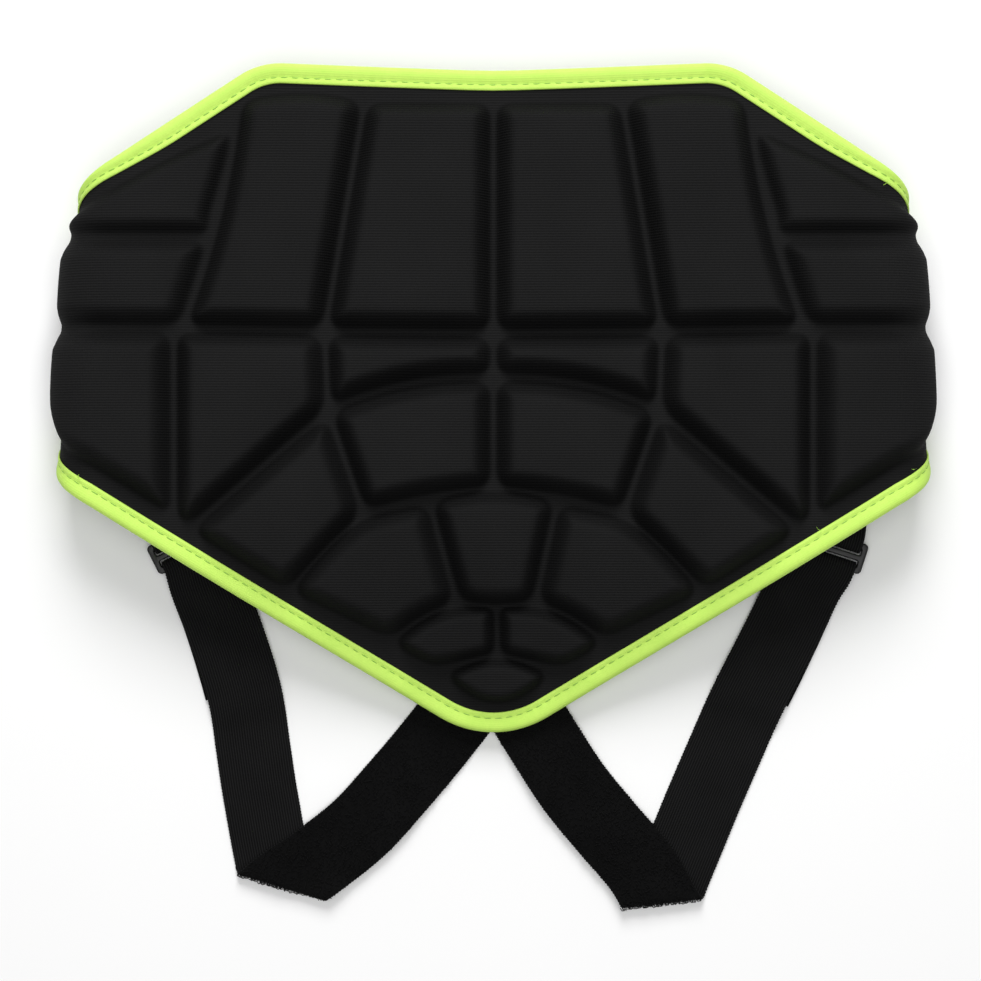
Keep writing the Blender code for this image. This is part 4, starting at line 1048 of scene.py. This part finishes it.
def buildLeg(name, leg):
    place = Vector((leg["across"] * pattern["half"], 0))
    place.y = -pattern["apexDrop"] + apexSlope * abs(place.x) + leg["tuck"] * webbing["width"]
    tilt = math.radians(leg["tilt"])
    down = Vector((-leg["side"] * math.sin(tilt), -math.cos(tilt)))
    bar = place + down * barPitch
    fold = Vector((leg["foldAcross"] * pattern["half"], apexTip - leg["foldDrop"] * pattern["apexDrop"]))
    line = Vector((math.cos(math.radians(leg["foldLine"])), math.sin(math.radians(leg["foldLine"]))))
    beyond = rightOf(line)
    points = [bar] + [Vector((x * pattern["half"], place.y + (fold.y - place.y) * share))
                      for share, x in leg["down"]] + [fold]
    for share, x in leg["up"]:
        point = Vector((x * pattern["half"], fold.y + (apexTip + webbing["endReach"] - fold.y) * share))
        points.append(point - beyond * 2 * (point - fold).dot(beyond))
    route = planCurve(points, down)
    total = route[1][-1]
    foldMark = markNear(route, fold)
    along = alongCurve(route, foldMark)[1]
    skew = -leftOf(along).dot(beyond) / along.dot(beyond)
    outer = -1 if leftOf(down).x * leg["side"] < 0 else 1
    roll = math.pi * webbing["loopRadius"]
    spread = math.acos(min(1.0, abs(leftOf(along).dot(line)))) + math.radians(1)
    overlap = strapHalf / max(0.2, math.cos(spread)) + strapHalf * 0.9

    def tailPoint(s, w, n):
        centre, direction = alongCurve(route, s)
        spot = centre + leftOf(direction) * (w + outer * webbing["tailDrift"] * smooth(s / webbing["tail"]))
        return Vector((spot.x, spot.y, rest - n))

    def loopPoint(angle, w, n):
        spot = bar + leftOf(down) * w - down * (barReach + n) * math.sin(angle)
        return Vector((spot.x, spot.y, barHeight - (barReach + n) * math.cos(angle)))

    def firstHeight(s):
        top = barHeight + barReach
        height = top + (rest + layer - top) * smooth(s / webbing["downRun"])
        return height - layer * smooth((s - webbing["tail"] - webbing["tailSpare"]) / webbing["tailRun"])

    def secondHeight(depth, s):
        height = rest + 2 * webbing["loopRadius"]
        height -= (2 * webbing["loopRadius"] - layer) * smooth(depth / webbing["pinchRun"])
        height -= layer * smooth((depth - overlap) / webbing["settleRun"])
        climb = smooth((s - (total - webbing["crossFrom"])) / webbing["crossRun"])
        return height + leg["over"] * layer * climb

    def mainPoint(s, w, n):
        near = 1 - smooth((abs(s - foldMark) - webbing["skewFrom"]) / webbing["skewRun"])
        mark = s + w * skew * near
        centre, direction = alongCurve(route, mark)
        spot = centre + leftOf(direction) * w
        depth = (spot - fold).dot(beyond)
        where = (spot - fold).dot(line)
        if depth <= 0:
            return Vector((spot.x, spot.y, firstHeight(mark) + n))
        if depth < roll:
            angle = depth / webbing["loopRadius"]
            reach = webbing["loopRadius"] - n
            spot = fold + line * where + beyond * reach * math.sin(angle)
            return Vector((spot.x, spot.y, rest + webbing["loopRadius"] - reach * math.cos(angle)))
        spot = fold + line * where - beyond * (depth - roll)
        return Vector((spot.x, spot.y, secondHeight(depth - roll, mark) - n))

    step = webbing["step"]
    rings, lengths = [], []
    for s in reversed([0.0] + stopsBetween(0.0, webbing["tail"], step)):
        if s > 0:
            ring, across = ribbedSection(lambda w, n: tailPoint(s, w, n))
            rings.append(ring)
            lengths.append(-s)
    for turn in range(17):
        ring, across = ribbedSection(lambda w, n: loopPoint(math.pi * turn / 16, w, n))
        rings.append(ring)
        lengths.append(turn * 0.0003)
    stops = stopsBetween(0.0, foldMark - 0.004, step)
    stops += stopsBetween(foldMark - 0.004, foldMark + roll + 0.004, 0.0005)
    stops += stopsBetween(foldMark + roll + 0.004, total, step)
    for s in stops:
        ring, across = ribbedSection(lambda w, n: mainPoint(s, w, n))
        rings.append(ring)
        lengths.append(0.005 + s)
    piece = sweep("webbing_" + name, rings, lengths, across, elasticRibs(), "elastic")
    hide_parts("strap_" + name)

    under = -webbing["thick"] / 2
    width = 25
    lanes = [-strapHalf + webbing["width"] * column / (width - 1) for column in range(width)]
    ground = [mainPoint(s, w, under) - shift
              for s in stopsBetween(foldMark + roll * 0.4, total - 0.004, 0.002) for w in lanes]
    pileOn("pile_" + name, ground[::-1], width, {
        "Spacing": pile["spacing"], "Loop Radius": pile["loopRadius"], "Yarn Radius": pile["yarnRadius"],
        "Sweep": math.pi, "Seed": 5}, pileYarn())
    edge = [mainPoint(foldMark + roll * share, w, under) - shift
            for share in (0.15, 0.4, 0.65, 0.9) for w in lanes]
    pileOn("fold_fuzz_" + name, edge[::-1], width, {
        "Spacing": pile["foldSpacing"], "Loop Radius": pile["foldLoop"],
        "Yarn Radius": pile["yarnRadius"], "Sweep": 4.2, "Seed": 8}, pileYarn())
    fine = stopsBetween(0.0, total - 0.002, 0.0009)
    selvedges = [[mainPoint(s, w, 0.0) - shift for s in fine] for w in (-strapHalf - 0.0001,
                                                                        strapHalf + 0.0001)]
    alongPath("selvedge_" + name, selvedges, {
        "Pitch": pile["nubPitch"], "Stitch Length": pile["nubLength"],
        "Thread Radius": pile["nubRadius"], "Flatness": 1.6, "Looseness": 0.4, "Seed": 4,
    }, blackThread())
    buildSlider(name, place, down)
    buildTab(name, leg, place, down)
    cut = webbing["tail"] + math.pi * barReach + total
    print("leg", name, "done:", len(piece.data.polygons), "faces, strap %.3f m long" % cut)


def buildSlider(name, place, down):
    side = leftOf(down)
    inner = strapHalf + slider["side"]
    half = 1.5 * slider["bar"] + slider["slot"]

    def roundedBox(x, low, high, radius):
        ring = []
        for corner, (cx, cy) in enumerate(((x, high), (x, low), (-x, low), (-x, high))):
            for step in range(7):
                angle = math.pi / 2 * (1 - corner - step / 6)
                centre = Vector((cx - math.copysign(radius, cx),
                                 cy - math.copysign(radius, cy - (low + high) / 2)))
                ring.append(centre + Vector((math.cos(angle), math.sin(angle))) * radius)
        return ring

    outer = roundedBox(inner + slider["bar"], -half, half, 0.0018)
    slots = [roundedBox(inner, low, low + slider["slot"], 0.0007)
             for low in (-slider["bar"] / 2 - slider["slot"], slider["bar"] / 2)]
    points, faces, placed = triangulate(outer, slots)
    vertices = []
    for height in (slider["bar"] / 2, -slider["bar"] / 2):
        for point in points:
            spot = place + down * point.y + side * point.x
            vertices.append(Vector((spot.x, spot.y, barHeight + height)) - shift)
    base = len(points)
    shell = list(faces) + [tuple(base + corner for corner in reversed(face)) for face in faces]
    first = 0
    for ring in [outer] + slots:
        for index in range(len(ring)):
            a = placed[first + index]
            b = placed[first + (index + 1) % len(ring)]
            shell.append((a, base + a, base + b, b))
        first += len(ring)
    piece = makePiece("slider_frame_" + name, vertices, shell, mouldedPlastic(), "slider")
    bevel = piece.modifiers.new("rounded edges", "BEVEL")
    bevel.width = 0.00055
    bevel.segments = 3
    bevel.limit_method = "ANGLE"
    bevel.angle_limit = math.radians(40)
    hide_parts("slider_" + name)


def buildTab(name, leg, place, down):
    bar = place - down * barPitch
    end = Vector((leg["side"] * (turnStart - strapHalf - tab["inset"]), wing["bottom"]))
    middle = Vector((bar.x * 0.55 + end.x * 0.45, (bar.y + end.y) / 2))
    tip = Vector((end.x, wing["bottom"] + tape["width"] + tab["grip"]))
    route = planCurve([bar, middle, end, tip], -down)
    total = route[1][-1]
    overTape = 2 * tapeHalf + pattern["clear"] + rest
    onWing = wingMid + wing["sheet"] / 2 + pattern["clear"] + rest
    rimMark = markNear(route, end)
    clearMark = rimMark + tape["width"] + tab["clear"]

    def height(s):
        top = barHeight + barReach
        low = rest + layer
        value = top + (low - top) * smooth(s / tab["downRun"])
        value += (overTape - low) * smooth((s - rimMark + tab["climbFrom"]) / tab["climbRun"])
        return value + (onWing - overTape) * smooth((s - clearMark) / tab["stepRun"])

    def upperPoint(s, w, n):
        centre, direction = alongCurve(route, s)
        spot = centre + leftOf(direction) * w
        return Vector((spot.x, spot.y, height(s) + n))

    def loopPoint(angle, w, n):
        spot = bar - leftOf(down) * w + down * (barReach + n) * math.sin(angle)
        return Vector((spot.x, spot.y, barHeight - (barReach + n) * math.cos(angle)))

    def returnPoint(s, w, n):
        centre, direction = alongCurve(route, s)
        spot = centre + leftOf(direction) * w
        return Vector((spot.x, spot.y, rest - n))

    rings, lengths = [], []
    for s in reversed(stopsBetween(0.0, tab["fold"], 0.0015)):
        ring, across = ribbedSection(lambda w, n: returnPoint(s, w, n))
        rings.append(ring)
        lengths.append(-s)
    for turn in range(17):
        ring, across = ribbedSection(lambda w, n: loopPoint(math.pi * turn / 16, w, n))
        rings.append(ring)
        lengths.append(turn * 0.0003)
    for s in stopsBetween(0.0, total, 0.0013):
        ring, across = ribbedSection(lambda w, n: upperPoint(s, w, n))
        rings.append(ring)
        lengths.append(0.005 + s)
    piece = sweep("tab_webbing_" + name, rings, lengths, across, elasticRibs(), "elastic")
    print("tab", name, "%.4f m long" % (tab["fold"] + math.pi * barReach + total))
    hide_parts("tab_" + name)

    box = strapHalf - 0.003
    low, high = clearMark + 0.0035, total - 0.002
    corners = [(low, -box), (low, box), (high, box), (high, -box), (low, -box), (high, box)]
    paths = [[upperPoint(a[0] + (b[0] - a[0]) * t / 12, a[1] + (b[1] - a[1]) * t / 12, rest + 0.00012) - shift
              for t in range(13)] for a, b in zip(corners, corners[1:] + [(high, -box)])]
    crossing = [upperPoint(low + (high - low) * t / 12, box - 2 * box * t / 12, rest + 0.00012) - shift
                for t in range(13)]
    alongPath("box_stitches_" + name, paths[:5] + [crossing], {
        "Pitch": 0.0026, "Stitch Length": 0.0021, "Thread Radius": 0.00025, "Flatness": 0.8,
        "Looseness": 0.03, "Seed": 6}, blackThread())


# Closure patches between the wings, and the flat seam where each wing is joined on

closure = {
    "inset": 0.0015,
    "base": 0.00070,
    "hookSpacing": 0.0013,
    "loopSpacing": 0.0010,
    "seamPitch": 0.0030,
    "seamWidth": 0.0050,
}


def buildPatches():
    inner = tape["width"] + closure["inset"]
    reach = wing["overlap"] / 2 - inner - closure["inset"]
    low, high = wing["bottom"] + inner, wing["top"] - inner
    for kind, side in (("loop", 1), ("hook", -1)):
        sign = -side
        lift = wing["sheet"] / 2 + pattern["clear"]
        columns, rows = 12, 20
        top, bottom = [], []
        for row in range(rows + 1):
            v = low + (high - low) * row / rows
            for column in range(columns + 1):
                x = -reach + 2 * reach * column / columns
                u = side * (2 * foldStart(v) + turnLength - x)
                bottom.append(onPattern(u, v, sign * lift))
                top.append(onPattern(u, v, sign * (lift + closure["base"])))
        width = columns + 1
        faces = [(r * width + c, r * width + c + 1, (r + 1) * width + c + 1, (r + 1) * width + c)
                 for r in range(rows) for c in range(columns)]
        base = len(top)
        shell = faces + [tuple(base + corner for corner in reversed(face)) for face in faces]
        rim = [c for c in range(width)] + [r * width + columns for r in range(1, rows + 1)]
        rim += [rows * width + c for c in reversed(range(columns))]
        rim += [r * width for r in reversed(range(1, rows))]
        shell += [(a, base + a, base + b, b) for a, b in zip(rim, rim[1:] + rim[:1])]
        uv = [(c * 0.0023, r * 0.0023) for r in range(rows + 1) for c in range(width)] * 2
        piece = makePiece(kind + "_tape", top + bottom, shell, elasticRibs(), "closure", uv=uv, sharp=50)
        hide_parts(kind + "_patch")
        ground = top if faceUp(top, width) == (side > 0) else top[::-1]
        pileOn(kind + "_pile", ground, width, {
            "Spacing": closure[kind + "Spacing"], "Loop Radius": 0.00019, "Yarn Radius": 0.00006,
            "Sweep": 2.5 if kind == "hook" else math.pi, "Seed": 2}, pileYarn())


def faceUp(grid, width):
    return (grid[1] - grid[0]).cross(grid[width] - grid[0]).z > 0


def buildSeams():
    for side, name in ((-1, "left"), (1, "right")):
        low = wing["bottom"] + tape["width"] * 0.4
        high = wing["top"] - tape["width"] * 0.2
        count = round((high - low) / closure["seamPitch"]) * 2
        for face, height in (("outer", 0.00172), ("inner", -0.00162)):
            path = []
            for step in range(count + 1):
                v = low + (high - low) * step / count
                u = side * (seamAt + closure["seamWidth"] / 2 * (1 if step % 2 else -1))
                path.append(onPattern(u, v, height))
            alongPath("seam_%s_%s" % (face, name), [path], {
                "Pitch": 0.0027, "Stitch Length": 0.0030, "Thread Radius": 0.00026,
                "Flatness": 1.0, "Looseness": 0.0, "Seed": 2}, blackThread())


# Loose ends of the tape's thread, left where the sewing stopped

looseEnds = {
    "radius": 0.00013,
    "length": 0.0022,
    "places": [(0.1550, 0.1220, 20), (0.1680, 0.0088, 150), (0.1306, -0.0163, 100), (-0.1642, 0.0040, 60)],
}


def buildLooseEnds():
    paths = []
    for x, y, heading in looseEnds["places"]:
        path = []
        for step in range(13):
            share = step / 12
            angle = math.radians(heading + 45 * math.sin(2.2 * share))
            here = Vector((x, y)) + Vector((math.cos(angle), math.sin(angle))) * looseEnds["length"] * share
            path.append(onPattern(here.x, here.y, 0.0027 + 0.0012 * math.sin(math.pi * share * 0.8)))
        paths.append(path)
    alongPath("loose_thread", paths, {
        "Pitch": 0.00055, "Stitch Length": 0.0008, "Thread Radius": looseEnds["radius"],
        "Flatness": 0.0, "Looseness": 0.0, "Seed": 3}, edgeTape())


# Setting: floor, light and camera

setting = {
    "cameraHeight": 1.10,
    "cameraAcross": -0.0012,
    "lens": 98.2,
    "floor": (0.95, 0.95, 0.95),
    "world": 0.20,
    "key": 29.0,
    "fill": 12.5,
}


def buildSetting():
    mesh = bpy.data.meshes.new("floor")
    mesh.from_pydata([(-3, -3, 0), (3, -3, 0), (3, 3, 0), (-3, 3, 0)], [], [(0, 1, 2, 3)])
    floor = bpy.data.objects.new("floor", mesh)
    scene.collection.objects.link(floor)
    floor.location.z = -0.0001

    def build(tree, shader):
        place = addNode(tree, "ShaderNodeTexCoord").outputs["Object"]
        mottle = grain(tree, place, 9, 2)
        low = tuple(value * 0.99 for value in setting["floor"])
        tone(tree, shader, mottle, low, setting["floor"])
    mesh.materials.append(finish("pale_floor", setting["floor"], 0.9, build))

    camera = bpy.data.objects.new("camera", bpy.data.cameras.new("camera"))
    scene.collection.objects.link(camera)
    camera.data.lens = setting["lens"]
    camera.location = Vector((setting["cameraAcross"], 0, setting["cameraHeight"])) - shift
    scene.camera = camera

    world = bpy.data.worlds.new("studio")
    world.use_nodes = True
    world.node_tree.nodes["Background"].inputs["Color"].default_value = (1, 1, 1, 1)
    world.node_tree.nodes["Background"].inputs["Strength"].default_value = setting["world"]
    scene.world = world
    for name, place, size, power in (("key", (0.0, 1.5, 1.15), 0.9, setting["key"]),
                                     ("fill", (0.0, -0.2, 1.5), 1.2, setting["fill"])):
        light = bpy.data.objects.new(name, bpy.data.lights.new(name, "AREA"))
        light.data.size = size
        light.data.energy = power
        light.location = place
        light.rotation_mode = "QUATERNION"
        light.rotation_quaternion = (-Vector(place)).to_track_quat("-Z", "Y")
        scene.collection.objects.link(light)
    scene.view_settings.view_transform = "Standard"


buildPanel()
buildWings()
buildTape()
for legName, legRow in legs.items():
    buildLeg(legName, legRow)
buildPatches()
buildSeams()
buildLooseEnds()
buildSetting()
